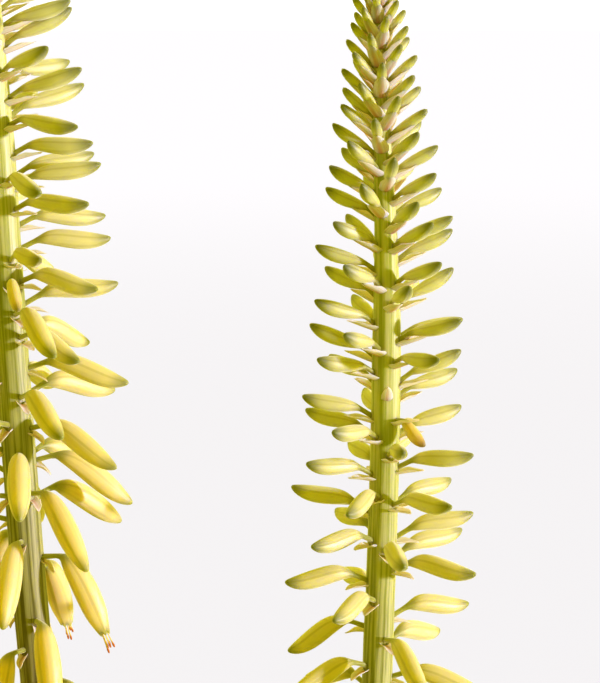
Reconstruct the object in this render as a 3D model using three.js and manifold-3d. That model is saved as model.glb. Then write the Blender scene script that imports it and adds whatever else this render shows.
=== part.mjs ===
// A potted aloe vera in flower: a clay pot of soil, a rosette of toothed leaves on a short crown,
// and two stalks that carry spikes of tube flowers.
// Millimetres, +Z up, origin at the middle of the pot's base. Angles are in degrees. Azimuth 0
// points along -Y, the side that is looked at, and azimuth 90 points along +X.

import * as THREE from 'three';
import { mergeVertices } from 'three/addons/utils/BufferGeometryUtils.js';
import Module from 'manifold-3d';

const wasm = await Module();
wasm.setup();

// Clearance between pieces that touch, and between leaves
const GAP = 0.3;
const LEAF_GAP = 0.45;

// Pot
const POT_SIDES = 30;
const POT_HEIGHT = 160;
const POT_WALL = 6;
const POT_FLOOR = 8;
const POT_BASE_RADIUS = 66;
const POT_EDGE = 2;
const RIM_RADIUS = 100;
const RIM_HEIGHT = 27;
const RIM_STEP = 5;
const RIM_FLARE = 3;
const RIM_THICKNESS = 9;
const RIM_FOOT = POT_HEIGHT - RIM_HEIGHT;
const RIM_INNER_RADIUS = RIM_RADIUS - RIM_THICKNESS;
const NECK_RADIUS = RIM_RADIUS - RIM_STEP - RIM_FLARE;
const INNER_BASE_RADIUS = POT_BASE_RADIUS - POT_WALL;
const DRAIN_RADIUS = 6;
const DRAIN_RING = 32;
const DRAIN_COUNT = 3;
const DRAIN_SIDES = 12;

// Soil
const SOIL_EDGE_TOP = 141;
const SOIL_MIDDLE_TOP = 146;
const SOIL_SLOPE = [{ share: 0.75, rise: 2 }, { share: 0.5, rise: 4 }];

// Crown, the short stem that the leaves and stalks grow from
const CROWN_SIDES = 10;
const CROWN_RADIUS = 24;
const CROWN_FOOT = 112;
const CROWN_SHOULDER = 151;
const CROWN_EDGE_WIDTH = 4;
const CROWN_EDGE_HEIGHT = 6;
const CROWN_DOME_ANGLES = [0, 35, 65, 90];

// Leaves
const LEAF_COUNT = 14;
const LEAF_FIRST_AZIMUTH = 39;
const LEAF_CELLS = 9;
const LEAF_ROOT_DEPTH = 7;
const LEAF_ROOT_SHARE = 0.16;
const LEAF_ROOT_NARROWING = 0.25;
const LEAF_OUTER_RISE = 34;
const LEAF_INNER_RISE = 86;
const LEAF_RISE_POWER = 1.1;
const LEAF_SEAT_LIFT = 78;
const LEAF_STRAY_ANGLE = 3;
const LEAF_STRAY_LENGTH = 0.05;
const TOOTH_HEIGHT = 2.6;
const TOOTH_LENGTH = 5;
const TOOTHLESS_CELLS = 2;
const CUTTER_CELLS = [0, 1, 2, 3, 4, 5, 7];

// Two inner leaves lean out so that they pass below a stalk
const LEAF_LEANS = { 11: -15, 12: -15 };

// Leaf sizes by place in the rosette, from 0 at the outermost leaf to 1 at the innermost
const LEAF_SIZES = [
  { at: 0, length: 280, width: 60, thickness: 14, bend: -16 },
  { at: 0.35, length: 325, width: 64, thickness: 16, bend: -12 },
  { at: 0.7, length: 275, width: 50, thickness: 14, bend: -4 },
  { at: 0.85, length: 215, width: 38, thickness: 11, bend: 3 },
  { at: 1, length: 120, width: 22, thickness: 8, bend: 2 },
];

// Form of a leaf. The powers shape its outline and thickness along its length. The channel is a
// share of half the width, and the other shares place the section's corners: the upper face and
// the belly by the thickness, and the flanks between the edges and the belly by both.
const LEAF_FORM = {
  outlinePower: 1.6,
  pointPower: 0.95,
  thinning: 0.8,
  thinningPower: 1.5,
  tipPower: 8,
  channel: 0.16,
  rootChannel: 0.3,
  upper: 0.3,
  belly: 0.7,
  flank: 0.62,
  flankDepth: 0.42,
  flankLift: 0.4,
};
const TOOTH_PEAK = 0.6;
const TOOTH_SHRINKING = 0.4;

// Flower stalks
const GOLDEN_ANGLE = 137.5;
const STEM_SIDES = 6;
const STEM_STEP = 28;
const STEM_FOOT = 154;
const STEM_TIP_RADIUS = 0.5;
const STEM_TAPER_LENGTH = 115;
const STEM_TAPER_POWER = 0.85;
const STEM_THICKENING = 0.003;
const STALKS = [
  {
    name: 'flower_stalk_right',
    seed: 1,
    apex: 712,
    radius: 4.2,
    turn: -GOLDEN_ANGLE,
    firstHeight: 509.1,
    firstAzimuth: 30,
    ageing: 1,
    vigour: 1,
    spacingSlope: 0.0125,
    lowerSpacing: 4.2,
    flowering: 262,
    axis: [
      { z: 156, x: 12.5, y: 2 },
      { z: 230, x: 22, y: 2 },
      { z: 340, x: 37, y: 1 },
      { z: 430, x: 46.5, y: 0 },
      { z: 520, x: 50.6, y: 0 },
      { z: 610, x: 51.9, y: 0 },
      { z: 667, x: 49.8, y: 0 },
      { z: 714, x: 47.8, y: 0 },
    ],
    // Flowers that stand off the rule: rise along the stalk, turn about it and lift of the bud.
    // Some have sizes of their own, and a dropped one has left only its bract.
    nudges: {
      57: [0, 0, -5],
      56: [1.5, 0, -4],
      53: [-2, 0, -2],
      50: [2.3, 45, 0],
      49: [0, -30, 0],
      48: [-1, 0, -4],
      47: [-3, 0, 0],
      44: [-4.2, 0, 10],
      40: [-1.7, 0, 0],
      39: [-4.6, 0, -1],
      37: [-3, -17, -3],
      36: [2, -15, -10],
      35: [-1.5, 0, 3],
      34: [-0.8, 0, -12],
      32: [0, -10, -2],
      31: [-0.8, 0, 11],
      28: [1, -24, 2],
      27: [-2, 0, 0],
      26: [0, -5, -50],
      24: [-1, -8, 0],
      23: [1.5, 0, 4],
      22: [3.5, 0, 0],
      21: [1, -8, 0],
      18: [4.3, 0, 0],
      17: [5, -12, 0],
      16: [1.5, -14, -12],
      14: [1, 0, 10],
      13: [6.5, 0, 0],
      11: [1, -5, 0],
      10: [3.5, 5, 8],
      9: [6, -25, 0],
      8: [6, 0, 0],
      7: [4.3, -25, 8],
      6: [1.5, 0, 0],
      5: [8, 0, 0],
      3: [4, -5, 0],
      1: [0, 0, -25],
      0: [0, -5, -20],
      '-1': [0, -25, 0],
    },
    own: {
      26: { length: 11, width: 4.2, foot: 2 },
      21: { length: 11, width: 4.8 },
    },
    dropped: [29],
  },
  {
    name: 'flower_stalk_left',
    seed: 2,
    apex: 770,
    radius: 4.6,
    turn: GOLDEN_ANGLE,
    firstHeight: 537.5,
    firstAzimuth: 75,
    ageing: 1.2,
    vigour: 1.13,
    spacingSlope: 0.0115,
    lowerSpacing: 4.5,
    flowering: 310,
    axis: [
      { z: 156, x: -12.5, y: -3 },
      { z: 230, x: -20, y: -6 },
      { z: 340, x: -33, y: -9 },
      { z: 430, x: -44, y: -11 },
      { z: 520, x: -50.6, y: -12 },
      { z: 600, x: -54.5, y: -12 },
      { z: 690, x: -58, y: -12 },
      { z: 772, x: -62, y: -12 },
    ],
    nudges: {
      68: [0, 22, -4],
      63: [2.5, 0, 7],
      58: [2, 0, -8],
      55: [1.8, 0, 2],
      52: [0, 35, -18],
      50: [5.8, 10, 6],
      47: [1.5, 22, -7],
      45: [-1, -27, 0],
      44: [0, 25, -19],
      42: [2.5, 0, 2],
      39: [2.3, 22, -4],
      37: [2, -12, -6],
      36: [-5.3, 42, 0],
      34: [2.1, 28, -2],
      32: [1, 5, -16],
      31: [0, 47, -7],
      29: [-2.2, 0, 9],
      28: [6.9, 50, -18],
      26: [-3.6, -6, -8],
      24: [2, 8, -13],
      23: [10.8, 34, -14],
      16: [5, 15, 10],
      13: [3.8, 0, 0],
      10: [4, -2, 0],
      8: [7, 0, 0],
      5: [6, 0, 0],
      3: [9, 0, 12],
      2: [0, 5, 0],
      0: [0, 0, -10],
      '-2': [2.5, 0, 0],
      '-3': [-4.8, 0, 0],
      '-5': [0, 72, 0],
    },
    own: {
      28: { length: 17, width: 3.9 },
      36: { width: 5 },
    },
    dropped: [],
  },
];

// Flowers by age: angle of the bud's middle, half of its bend, its length and width, then the
// length and angle of its little stalk
const BUD_AGES = [
  { at: 0, rise: 78, curl: 8, length: 3, width: 1.5, foot: 0.4, footRise: 60 },
  { at: 15, rise: 60, curl: 12, length: 7, width: 2.4, foot: 0.8, footRise: 55 },
  { at: 40, rise: 42, curl: 14, length: 10.5, width: 3.2, foot: 1.5, footRise: 46 },
  { at: 75, rise: 28, curl: 14, length: 13.8, width: 4.2, foot: 3, footRise: 40 },
  { at: 105, rise: 20, curl: 13, length: 15.8, width: 4.7, foot: 4, footRise: 36 },
  { at: 145, rise: 10, curl: 10, length: 17.5, width: 5.3, foot: 4.8, footRise: 32 },
  { at: 170, rise: 2, curl: 8, length: 19.5, width: 5.6, foot: 5.2, footRise: 28 },
  { at: 195, rise: -6, curl: 5, length: 22, width: 6.1, foot: 5.6, footRise: 25 },
  { at: 215, rise: -17, curl: 2, length: 24.5, width: 6.5, foot: 6, footRise: 20 },
  { at: 245, rise: -31, curl: -3, length: 26, width: 7, foot: 6.2, footRise: 16 },
  { at: 270, rise: -48, curl: -5, length: 27, width: 7.2, foot: 6.5, footRise: 12 },
  { at: 290, rise: -60, curl: -6, length: 28, width: 7.6, foot: 6.5, footRise: 10 },
  { at: 320, rise: -74, curl: -6, length: 28, width: 7.2, foot: 6.5, footRise: 5 },
];

// Bracts by the age of the flower above them
const BRACT_AGES = [
  { at: 0, length: 3, width: 1.4, rise: 72 },
  { at: 40, length: 7.5, width: 3.4, rise: 40 },
  { at: 75, length: 8.8, width: 3.8, rise: 30 },
  { at: 105, length: 9, width: 3.8, rise: 22 },
  { at: 145, length: 8.5, width: 3.6, rise: 15 },
  { at: 180, length: 7, width: 3, rise: 4 },
  { at: 215, length: 6, width: 2.6, rise: -12 },
  { at: 270, length: 5, width: 2.4, rise: -34 },
  { at: 320, length: 4.6, width: 2.2, rise: -50 },
];
const FLOWER_TIP_SPACING = 0.55;
const FLOWER_MOST_SPACING = 2.6;
const FLOWER_TIP_MARGIN = 0.8;
const FLOWER_FOOT_RADIUS = 0.95;
const FLOWER_ROOT_DEPTH = 1.8;
const FLOWER_ROOT_SHARE = 0.7;
const FOOT_LIFT_SHARE = 0.4;
const BUD_STRAY_ANGLE = 2;
const BUD_STRAY_LENGTH = 0.04;
// Flowers are longer than their age gives by the stalk's vigour, which fades out over these ages
const VIGOUR_FADING = { from: 150, to: 195 };
const YOUNG_AGE = 73;
const YOUNG_SCALE = 1.2;
const FULL_AGE = 150;
const RIDGE_RADIUS = 1.2;
const YOUNG_WIDEST = 0.4;
const MIDDLE_WIDEST = 0.5;
const FULL_WIDEST = 0.68;
const FULL_SHOULDER = { at: 0.2, share: 0.9 };
const BRACT_THICKNESS = 1;
const BRACT_DROP = 1.9;
const BRACT_ROOT_DEPTH = 0.8;
const BRACT_ROOT_SHARE = 0.5;

// Bracts on the bare stalk below the flowers
const BARE_BRACT_COUNT = 5;
const BARE_BRACT_SPACING = 34;
const BARE_BRACT = { length: 11, width: 6, rise: 62 };

// Colours and finishes
const POT_FINISH = { color: 0xb4633f, roughness: 0.85, metalness: 0 };
const SOIL_FINISH = { color: 0x3a2b20, roughness: 1, metalness: 0 };
const CROWN_FINISH = { color: 0x8a8554, roughness: 0.8, metalness: 0 };
const LEAF_FINISH = { color: 0x7d9468, roughness: 0.5, metalness: 0 };
const FLOWER_FINISH = { color: 0xc9c95a, roughness: 0.5, metalness: 0 };

const UP = new THREE.Vector3(0, 0, 1);
const radians = THREE.MathUtils.degToRad;

// Repeatable draw between -1 and 1 for a numbered piece
function draw(number, kind, seed) {
  const wave = Math.sin(number * 12.9898 + kind * 78.233 + seed * 37.719) * 43758.5453;
  return (wave - Math.floor(wave)) * 2 - 1;
}

// Values of a table's rows at a place between them
function between(rows, at) {
  const last = rows[rows.length - 1];
  if (at >= last.at) return { ...last };
  const next = Math.max(1, rows.findIndex((row) => row.at > at));
  const low = rows[next - 1];
  const high = rows[next];
  const share = THREE.MathUtils.clamp((at - low.at) / (high.at - low.at), 0, 1);
  const values = {};
  for (const key of Object.keys(low)) values[key] = THREE.MathUtils.lerp(low[key], high[key], share);
  return values;
}

// Level directions at an azimuth: straight out, and along the circle
function outward(azimuth) {
  return new THREE.Vector3(Math.sin(radians(azimuth)), -Math.cos(radians(azimuth)), 0);
}

function sideways(azimuth) {
  return new THREE.Vector3(Math.cos(radians(azimuth)), Math.sin(radians(azimuth)), 0);
}

// A point on an even bend that starts at an angle above level and turns by another angle
function alongBend({ start, azimuth, rise, bend, length }, share) {
  const out = outward(azimuth);
  const first = radians(rise);
  const turn = radians(bend);
  const angle = first + turn * share;
  const even = Math.abs(turn) < 1e-6;
  const level = even ? Math.cos(first) * share : (Math.sin(angle) - Math.sin(first)) / turn;
  const height = even ? Math.sin(first) * share : (Math.cos(first) - Math.cos(angle)) / turn;
  return {
    place: start.clone().addScaledVector(out, level * length).addScaledVector(UP, height * length),
    above: out.clone().multiplyScalar(-Math.sin(angle)).addScaledVector(UP, Math.cos(angle)),
  };
}

// Solids

function toSolid(geometry) {
  const plain = geometry.clone();
  plain.deleteAttribute('normal');
  plain.deleteAttribute('uv');
  const merged = mergeVertices(plain, 1e-4);
  const corners = [];
  for (let i = 0; i < merged.index.count; i += 3) {
    const [a, b, c] = [0, 1, 2].map((k) => merged.index.getX(i + k));
    if (a !== b && b !== c && c !== a) corners.push(a, b, c);
  }
  return new wasm.Manifold(new wasm.Mesh({
    numProp: 3,
    vertProperties: new Float32Array(merged.attributes.position.array),
    triVerts: new Uint32Array(corners),
  }));
}

function toGeometry(solid) {
  const mesh = solid.getMesh();
  const geometry = new THREE.BufferGeometry();
  geometry.setAttribute('position', new THREE.BufferAttribute(mesh.vertProperties, 3));
  geometry.setIndex(new THREE.BufferAttribute(mesh.triVerts, 1));
  geometry.computeVertexNormals();
  return geometry;
}

function largestPiece(solid) {
  const pieces = solid.decompose();
  return pieces.reduce((best, piece) => (piece.volume() > best.volume() ? piece : best));
}

function turned(outline, sides) {
  const points = outline.map(([radius, height]) => new THREE.Vector2(radius, height));
  return new THREE.LatheGeometry(points, sides).rotateX(Math.PI / 2);
}

function fromPoints(points, corners) {
  const geometry = new THREE.BufferGeometry();
  const positions = points.flatMap((point) => point.toArray());
  geometry.setAttribute('position', new THREE.Float32BufferAttribute(positions, 3));
  geometry.setIndex(corners);
  return geometry;
}

// A closed skin over rings that run anticlockwise as seen from the last one. The first ring is
// closed by a fan about its first point, and the last is a single point.
function skin(rings) {
  const points = rings.flat();
  const sides = rings[0].length;
  const corners = [];
  for (let k = 1; k < sides - 1; k += 1) corners.push(0, k + 1, k);
  for (let ring = 0; ring < rings.length - 2; ring += 1) {
    for (let k = 0; k < sides; k += 1) {
      const a = ring * sides + k;
      const b = ring * sides + ((k + 1) % sides);
      corners.push(a, b, b + sides, a, b + sides, a + sides);
    }
  }
  const lastRing = (rings.length - 2) * sides;
  for (let k = 0; k < sides; k += 1) {
    corners.push(lastRing + k, lastRing + ((k + 1) % sides), points.length - 1);
  }
  return fromPoints(points, corners);
}

// Pot

function potOutline() {
  return [
    [0, 0],
    [POT_BASE_RADIUS - POT_EDGE, 0],
    [POT_BASE_RADIUS, POT_EDGE],
    [NECK_RADIUS, RIM_FOOT],
    [NECK_RADIUS + RIM_STEP, RIM_FOOT],
    [RIM_RADIUS, POT_HEIGHT - POT_EDGE],
    [RIM_RADIUS - POT_EDGE, POT_HEIGHT],
    [RIM_INNER_RADIUS + POT_EDGE, POT_HEIGHT],
    [RIM_INNER_RADIUS, POT_HEIGHT - POT_EDGE],
    [NECK_RADIUS - POT_WALL, RIM_FOOT],
    [INNER_BASE_RADIUS, POT_FLOOR + POT_EDGE],
    [INNER_BASE_RADIUS - POT_EDGE, POT_FLOOR],
    [0, POT_FLOOR],
  ];
}

function pot() {
  let solid = toSolid(turned(potOutline(), POT_SIDES));
  for (let hole = 0; hole < DRAIN_COUNT; hole += 1) {
    const angle = (hole / DRAIN_COUNT) * Math.PI * 2;
    const drill = new THREE.CylinderGeometry(DRAIN_RADIUS, DRAIN_RADIUS, POT_FLOOR * 4, DRAIN_SIDES);
    drill.rotateX(Math.PI / 2);
    drill.translate(DRAIN_RING * Math.cos(angle), DRAIN_RING * Math.sin(angle), 0);
    solid = solid.subtract(toSolid(drill));
  }
  return solid;
}

// Soil, with a plain hole for the crown. A growth makes the body that is cut from the leaves.
function soil(growth = 0) {
  const neck = NECK_RADIUS - POT_WALL;
  const flare = (RIM_INNER_RADIUS - neck) / (RIM_HEIGHT - POT_EDGE);
  const topRadius = neck + flare * (SOIL_EDGE_TOP - RIM_FOOT);
  const hole = CROWN_RADIUS + GAP;
  const outline = [
    [0, POT_FLOOR + GAP],
    [INNER_BASE_RADIUS - POT_EDGE - GAP, POT_FLOOR + GAP],
    [INNER_BASE_RADIUS - GAP, POT_FLOOR + POT_EDGE + GAP],
    [neck - GAP, RIM_FOOT],
    [topRadius - GAP, SOIL_EDGE_TOP + growth],
    ...SOIL_SLOPE.map(({ share, rise }) => [topRadius * share, SOIL_EDGE_TOP + rise + growth]),
    [hole, SOIL_MIDDLE_TOP + growth],
  ];
  if (growth > 0) outline.push([0, SOIL_MIDDLE_TOP + growth]);
  else outline.push([hole, CROWN_FOOT - GAP], [0, CROWN_FOOT - GAP]);
  return toSolid(turned(outline, POT_SIDES));
}

// Crown

function crownBody(growth) {
  const radius = CROWN_RADIUS + growth;
  const outline = [
    [0, CROWN_FOOT - growth],
    [radius - CROWN_EDGE_WIDTH, CROWN_FOOT - growth],
    [radius, CROWN_FOOT + CROWN_EDGE_HEIGHT],
  ];
  for (const angle of CROWN_DOME_ANGLES) {
    const level = angle === 90 ? 0 : radius * Math.cos(radians(angle));
    outline.push([level, CROWN_SHOULDER + radius * Math.sin(radians(angle))]);
  }
  return toSolid(turned(outline, CROWN_SIDES));
}

// Leaves

function leafPlan(index) {
  const at = index / (LEAF_COUNT - 1);
  const stray = LEAF_STRAY_ANGLE * draw(index, 1, 3);
  const azimuth = LEAF_FIRST_AZIMUTH + GOLDEN_ANGLE * index + stray;
  const lift = radians(LEAF_SEAT_LIFT * at);
  const seat = outward(azimuth).multiplyScalar(Math.cos(lift)).addScaledVector(UP, Math.sin(lift));
  const size = between(LEAF_SIZES, at);
  const rise = THREE.MathUtils.lerp(LEAF_OUTER_RISE, LEAF_INNER_RISE, at ** LEAF_RISE_POWER);
  return {
    ...size,
    azimuth,
    length: size.length * (1 + LEAF_STRAY_LENGTH * draw(index, 2, 3)),
    start: seat.multiplyScalar(CROWN_RADIUS - LEAF_ROOT_DEPTH).addScaledVector(UP, CROWN_SHOULDER),
    rise: rise + (LEAF_LEANS[index] ?? 0),
  };
}

// Section of a leaf at a share of its length: channelled above, full below, thick at the edges.
// A growth moves it outwards all round, and past the teeth.
function leafSection(leaf, share, growth) {
  const form = LEAF_FORM;
  const root = LEAF_ROOT_NARROWING * Math.max(0, 1 - share / LEAF_ROOT_SHARE) ** 2;
  const half = (leaf.width / 2) * (1 - share ** form.outlinePower) ** form.pointPower * (1 - root);
  const thinned = 1 - form.thinning * share ** form.thinningPower;
  const thick = leaf.thickness * thinned * (1 - share ** form.tipPower);
  const channel = half * (form.channel + form.rootChannel * (1 - share) ** 3);
  const reach = growth > 0 ? half + 2 * growth + TOOTH_HEIGHT * Math.min(1, share * 5) : half;
  const edge = form.upper * thick + channel * (reach / half) + growth;
  const flank = form.flank * half + growth;
  const flankHeight = -form.flankDepth * thick + form.flankLift * channel - 2 * growth;
  return [
    [0, form.upper * thick + growth],
    [-reach, edge],
    [-flank, flankHeight],
    [0, -form.belly * thick - growth],
    [flank, flankHeight],
    [reach, edge],
  ];
}

function leafRing(leaf, share, growth) {
  const { place, above } = alongBend(leaf, share);
  const across = sideways(leaf.azimuth);
  return leafSection(leaf, share, growth).map(
    ([right, high]) => place.clone().addScaledVector(across, right).addScaledVector(above, high),
  );
}

// The direction a leaf leaves the crown in
function leafDirection(leaf) {
  const level = outward(leaf.azimuth).multiplyScalar(Math.cos(radians(leaf.rise)));
  return level.addScaledVector(UP, Math.sin(radians(leaf.rise)));
}

// The two points of a tooth on each edge, just beyond a share of the length. A tooth carries on
// the slope of the upper face.
function toothPoints(leaf, share) {
  const peak = leafRing(leaf, share + (TOOTH_PEAK * TOOTH_LENGTH) / leaf.length, 0);
  const end = leafRing(leaf, share + TOOTH_LENGTH / leaf.length, 0);
  const height = TOOTH_HEIGHT * (1 - TOOTH_SHRINKING * share);
  return [1, 5].flatMap((corner) => {
    const outwards = peak[corner].clone().sub(peak[0]).normalize();
    return [peak[corner].addScaledVector(outwards, height), end[corner]];
  });
}

// A leaf with one tooth on each edge in each cell of its length. With a growth it is the plain,
// larger body that is cut from the leaves outside it.
function leafBody(leaf, cells, growth) {
  const points = [];
  const rows = [];
  for (const cell of cells) {
    const share = cell / LEAF_CELLS;
    const first = points.length;
    const ring = leafRing(leaf, share, growth);
    if (cell === 0) ring.forEach((point) => point.addScaledVector(leafDirection(leaf), -growth));
    points.push(...ring);
    const row = { first, left: [first + 1], right: [first + 5] };
    if (growth === 0 && cell >= TOOTHLESS_CELLS) {
      row.left.push(points.length, points.length + 1);
      row.right.push(points.length + 2, points.length + 3);
      points.push(...toothPoints(leaf, share));
    }
    rows.push(row);
  }
  const tip = points.length;
  points.push(alongBend(leaf, 1 + growth / leaf.length).place);

  const corners = [0, 2, 1, 0, 3, 2, 0, 4, 3, 0, 5, 4];
  rows.forEach(({ first, left, right }, index) => {
    const atTip = index === rows.length - 1;
    const next = (corner) => (atTip ? tip : rows[index + 1].first + corner);
    left.push(next(1));
    right.push(next(5));
    // Faces above and below each edge, then the rest of the upper face and the belly
    for (let k = 1; k < left.length; k += 1) {
      corners.push(first, left[k - 1], left[k], first + 2, left[k], left[k - 1]);
      corners.push(first, right[k], right[k - 1], first + 4, right[k - 1], right[k]);
    }
    corners.push(first + 2, first + 3, next(3), first + 3, first + 4, next(4));
    if (!atTip) {
      corners.push(first, next(1), next(0), first, next(0), next(5));
      corners.push(first + 2, next(2), next(1), first + 4, next(5), next(4));
      corners.push(first + 2, next(3), next(2), first + 3, next(4), next(3));
    }
  });
  return toSolid(fromPoints(points, corners));
}

// Flower stalks

function stalkAxis(stalk, height) {
  const rows = stalk.axis;
  const last = rows.length - 1;
  const low = THREE.MathUtils.clamp(rows.findIndex((row) => row.z > height) - 1, 0, last - 1);
  const found = height >= rows[last].z ? last - 1 : low;
  const slope = (row, key) => {
    const before = rows[Math.max(0, row - 1)];
    const after = rows[Math.min(last, row + 1)];
    return (after[key] - before[key]) / (after.z - before.z);
  };
  const span = rows[found + 1].z - rows[found].z;
  const share = (height - rows[found].z) / span;
  const ease = share * share * (3 - 2 * share);
  const value = (key) => rows[found][key] * (1 - ease) + rows[found + 1][key] * ease
    + span * share * (1 - share) * ((1 - share) * slope(found, key) - share * slope(found + 1, key));
  return new THREE.Vector3(value('x'), value('y'), height);
}

function stemRadius(stalk, height) {
  const below = Math.max(0, stalk.apex - height);
  const grown = (Math.min(below, STEM_TAPER_LENGTH) / STEM_TAPER_LENGTH) ** STEM_TAPER_POWER;
  const thickening = STEM_THICKENING * Math.max(0, below - STEM_TAPER_LENGTH);
  return STEM_TIP_RADIUS + (stalk.radius - STEM_TIP_RADIUS) * grown + thickening;
}

function stem(stalk, growth = 0, top = stalk.apex) {
  const steps = Math.ceil((top - STEM_FOOT) / STEM_STEP);
  const rings = [];
  for (let step = 0; step < steps; step += 1) {
    const height = STEM_FOOT - growth + ((top - STEM_FOOT) * step) / steps;
    const middle = stalkAxis(stalk, height);
    const ring = [];
    for (let side = 0; side < STEM_SIDES; side += 1) {
      const spoke = sideways((side * 360) / STEM_SIDES);
      ring.push(middle.clone().addScaledVector(spoke, stemRadius(stalk, height) + growth));
    }
    rings.push(ring);
  }
  rings.push([stalkAxis(stalk, top)]);
  return toSolid(skin(rings));
}

// Heights of the flowers, numbered up and down from the first one
function flowerHeights(stalk) {
  const heights = new Map([[0, stalk.firstHeight]]);
  let height = stalk.firstHeight;
  for (let number = 1; stalk.apex - height > FLOWER_TIP_MARGIN; number += 1) {
    const spacing = FLOWER_TIP_SPACING + stalk.spacingSlope * (stalk.apex - height);
    height += Math.min(FLOWER_MOST_SPACING, spacing);
    if (stalk.apex - height > FLOWER_TIP_MARGIN) heights.set(number, height);
  }
  height = stalk.firstHeight;
  for (let number = -1; stalk.apex - height < stalk.flowering; number -= 1) {
    height -= stalk.lowerSpacing;
    heights.set(number, height);
  }
  return heights;
}

function flowerPlan(stalk, number, height) {
  const [rise, turn, lift] = stalk.nudges[number] ?? [0, 0, 0];
  const stage = { ...between(BUD_AGES, (stalk.apex - height) * stalk.ageing), ...stalk.own[number] };
  const young = stage.at < YOUNG_AGE;
  const grown = young ? YOUNG_SCALE : 1;
  const { from, to } = VIGOUR_FADING;
  const faded = THREE.MathUtils.clamp((stage.at - from) / (to - from), 0, 1);
  const vigour = THREE.MathUtils.lerp(stalk.vigour, 1, faded);
  return {
    ...stage,
    young,
    full: stage.at > FULL_AGE,
    azimuth: stalk.firstAzimuth + stalk.turn * number + turn,
    height: height + rise,
    rise: stage.rise + lift + BUD_STRAY_ANGLE * draw(number, 1, stalk.seed),
    footRise: stage.footRise + FOOT_LIFT_SHARE * lift,
    length: stage.length * grown * vigour * (1 + BUD_STRAY_LENGTH * draw(number, 2, stalk.seed)),
    width: stage.width * grown,
  };
}

// A three-ridged ring of a bud, with one ridge on top
function ridgeRing({ place, above }, azimuth, radius) {
  const across = sideways(azimuth);
  return [90, 210, -30].map((angle) => place.clone()
    .addScaledVector(across, radius * Math.cos(radians(angle)))
    .addScaledVector(above, radius * Math.sin(radians(angle))));
}

function bud(stalk, plan) {
  const middle = stalkAxis(stalk, plan.height);
  const radius = stemRadius(stalk, plan.height);
  const out = outward(plan.azimuth);
  const surface = middle.clone().addScaledVector(out, radius);
  const foot = {
    start: surface.addScaledVector(out, -Math.min(FLOWER_ROOT_DEPTH, radius * FLOWER_ROOT_SHARE)),
    azimuth: plan.azimuth,
    rise: plan.footRise,
    bend: 0,
    length: plan.foot + FLOWER_ROOT_DEPTH,
  };
  const body = {
    start: alongBend(foot, 1).place,
    azimuth: plan.azimuth,
    rise: plan.rise - plan.curl,
    bend: 2 * plan.curl,
    length: plan.length,
  };
  const half = (plan.width / 2) * RIDGE_RADIUS;
  const rings = [ridgeRing(alongBend(foot, 0), plan.azimuth, FLOWER_FOOT_RADIUS)];
  if (plan.young) {
    rings.push(ridgeRing(alongBend(body, YOUNG_WIDEST), plan.azimuth, half));
  } else {
    rings.push(ridgeRing(alongBend(body, 0), plan.azimuth, FLOWER_FOOT_RADIUS));
    if (plan.full) {
      const { at, share } = FULL_SHOULDER;
      rings.push(ridgeRing(alongBend(body, at), plan.azimuth, half * share));
    }
    const widest = plan.full ? FULL_WIDEST : MIDDLE_WIDEST;
    rings.push(ridgeRing(alongBend(body, widest), plan.azimuth, half));
  }
  rings.push([alongBend(body, 1).place]);
  return toSolid(skin(rings));
}

// A bract: a pointed scale with a flat upper face and a keel below
function bract(stalk, { azimuth, height, length, width, rise }) {
  const out = outward(azimuth);
  const depth = Math.min(BRACT_ROOT_DEPTH, stemRadius(stalk, height) * BRACT_ROOT_SHARE);
  const root = stalkAxis(stalk, height).addScaledVector(out, stemRadius(stalk, height) - depth);
  const across = sideways(azimuth).multiplyScalar(width / 2);
  const whole = length + depth;
  const { place, above } = alongBend({ start: root, azimuth, rise, bend: 0, length: whole }, 1);
  const keel = root.clone().addScaledVector(above, -BRACT_THICKNESS);
  const ring = [keel, root.clone().add(across), root.clone().sub(across)];
  return toSolid(skin([ring, [place]]));
}

function flowerStalk(stalk) {
  const solids = [stem(stalk)];
  for (const [number, height] of flowerHeights(stalk)) {
    const plan = flowerPlan(stalk, number, height);
    if (plan.young && number % 2 !== 0) continue;
    if (!stalk.dropped.includes(number)) solids.push(bud(stalk, plan));
    if (plan.young) continue;
    const scale = between(BRACT_AGES, plan.at);
    solids.push(bract(stalk, { ...scale, azimuth: plan.azimuth, height: plan.height - BRACT_DROP }));
  }
  for (let scale = 1; scale <= BARE_BRACT_COUNT; scale += 1) {
    solids.push(bract(stalk, {
      ...BARE_BRACT,
      azimuth: stalk.firstAzimuth + stalk.turn * scale,
      height: stalk.apex - stalk.flowering - BARE_BRACT_SPACING * scale,
    }));
  }
  return largestPiece(wasm.Manifold.union(solids));
}

// Plant and pot together

const plant = new THREE.Group();

function add(name, solid, finish) {
  const mesh = new THREE.Mesh(toGeometry(solid), new THREE.MeshStandardMaterial(finish));
  mesh.name = name;
  plant.add(mesh);
}

add('pot', pot(), POT_FINISH);
add('soil', soil(), SOIL_FINISH);

const stemCutters = STALKS.map((stalk) => stem(stalk, GAP, stalk.apex - stalk.flowering));
add('crown', largestPiece(wasm.Manifold.difference([crownBody(0), ...stemCutters])), CROWN_FINISH);

const plans = Array.from({ length: LEAF_COUNT }, (_, index) => leafPlan(index));
const leafCells = Array.from({ length: LEAF_CELLS }, (_, cell) => cell);
const leafCutters = plans.map((plan) => leafBody(plan, CUTTER_CELLS, LEAF_GAP));
const around = [crownBody(GAP), soil(GAP), ...stemCutters];
plans.forEach((plan, index) => {
  const whole = leafBody(plan, leafCells, 0);
  const cut = wasm.Manifold.difference([whole, ...around, ...leafCutters.slice(index + 1)]);
  add(`leaf_${String(index + 1).padStart(2, '0')}`, largestPiece(cut), LEAF_FINISH);
});

for (const stalk of STALKS) add(stalk.name, flowerStalk(stalk), FLOWER_FINISH);

export default plant;
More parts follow.
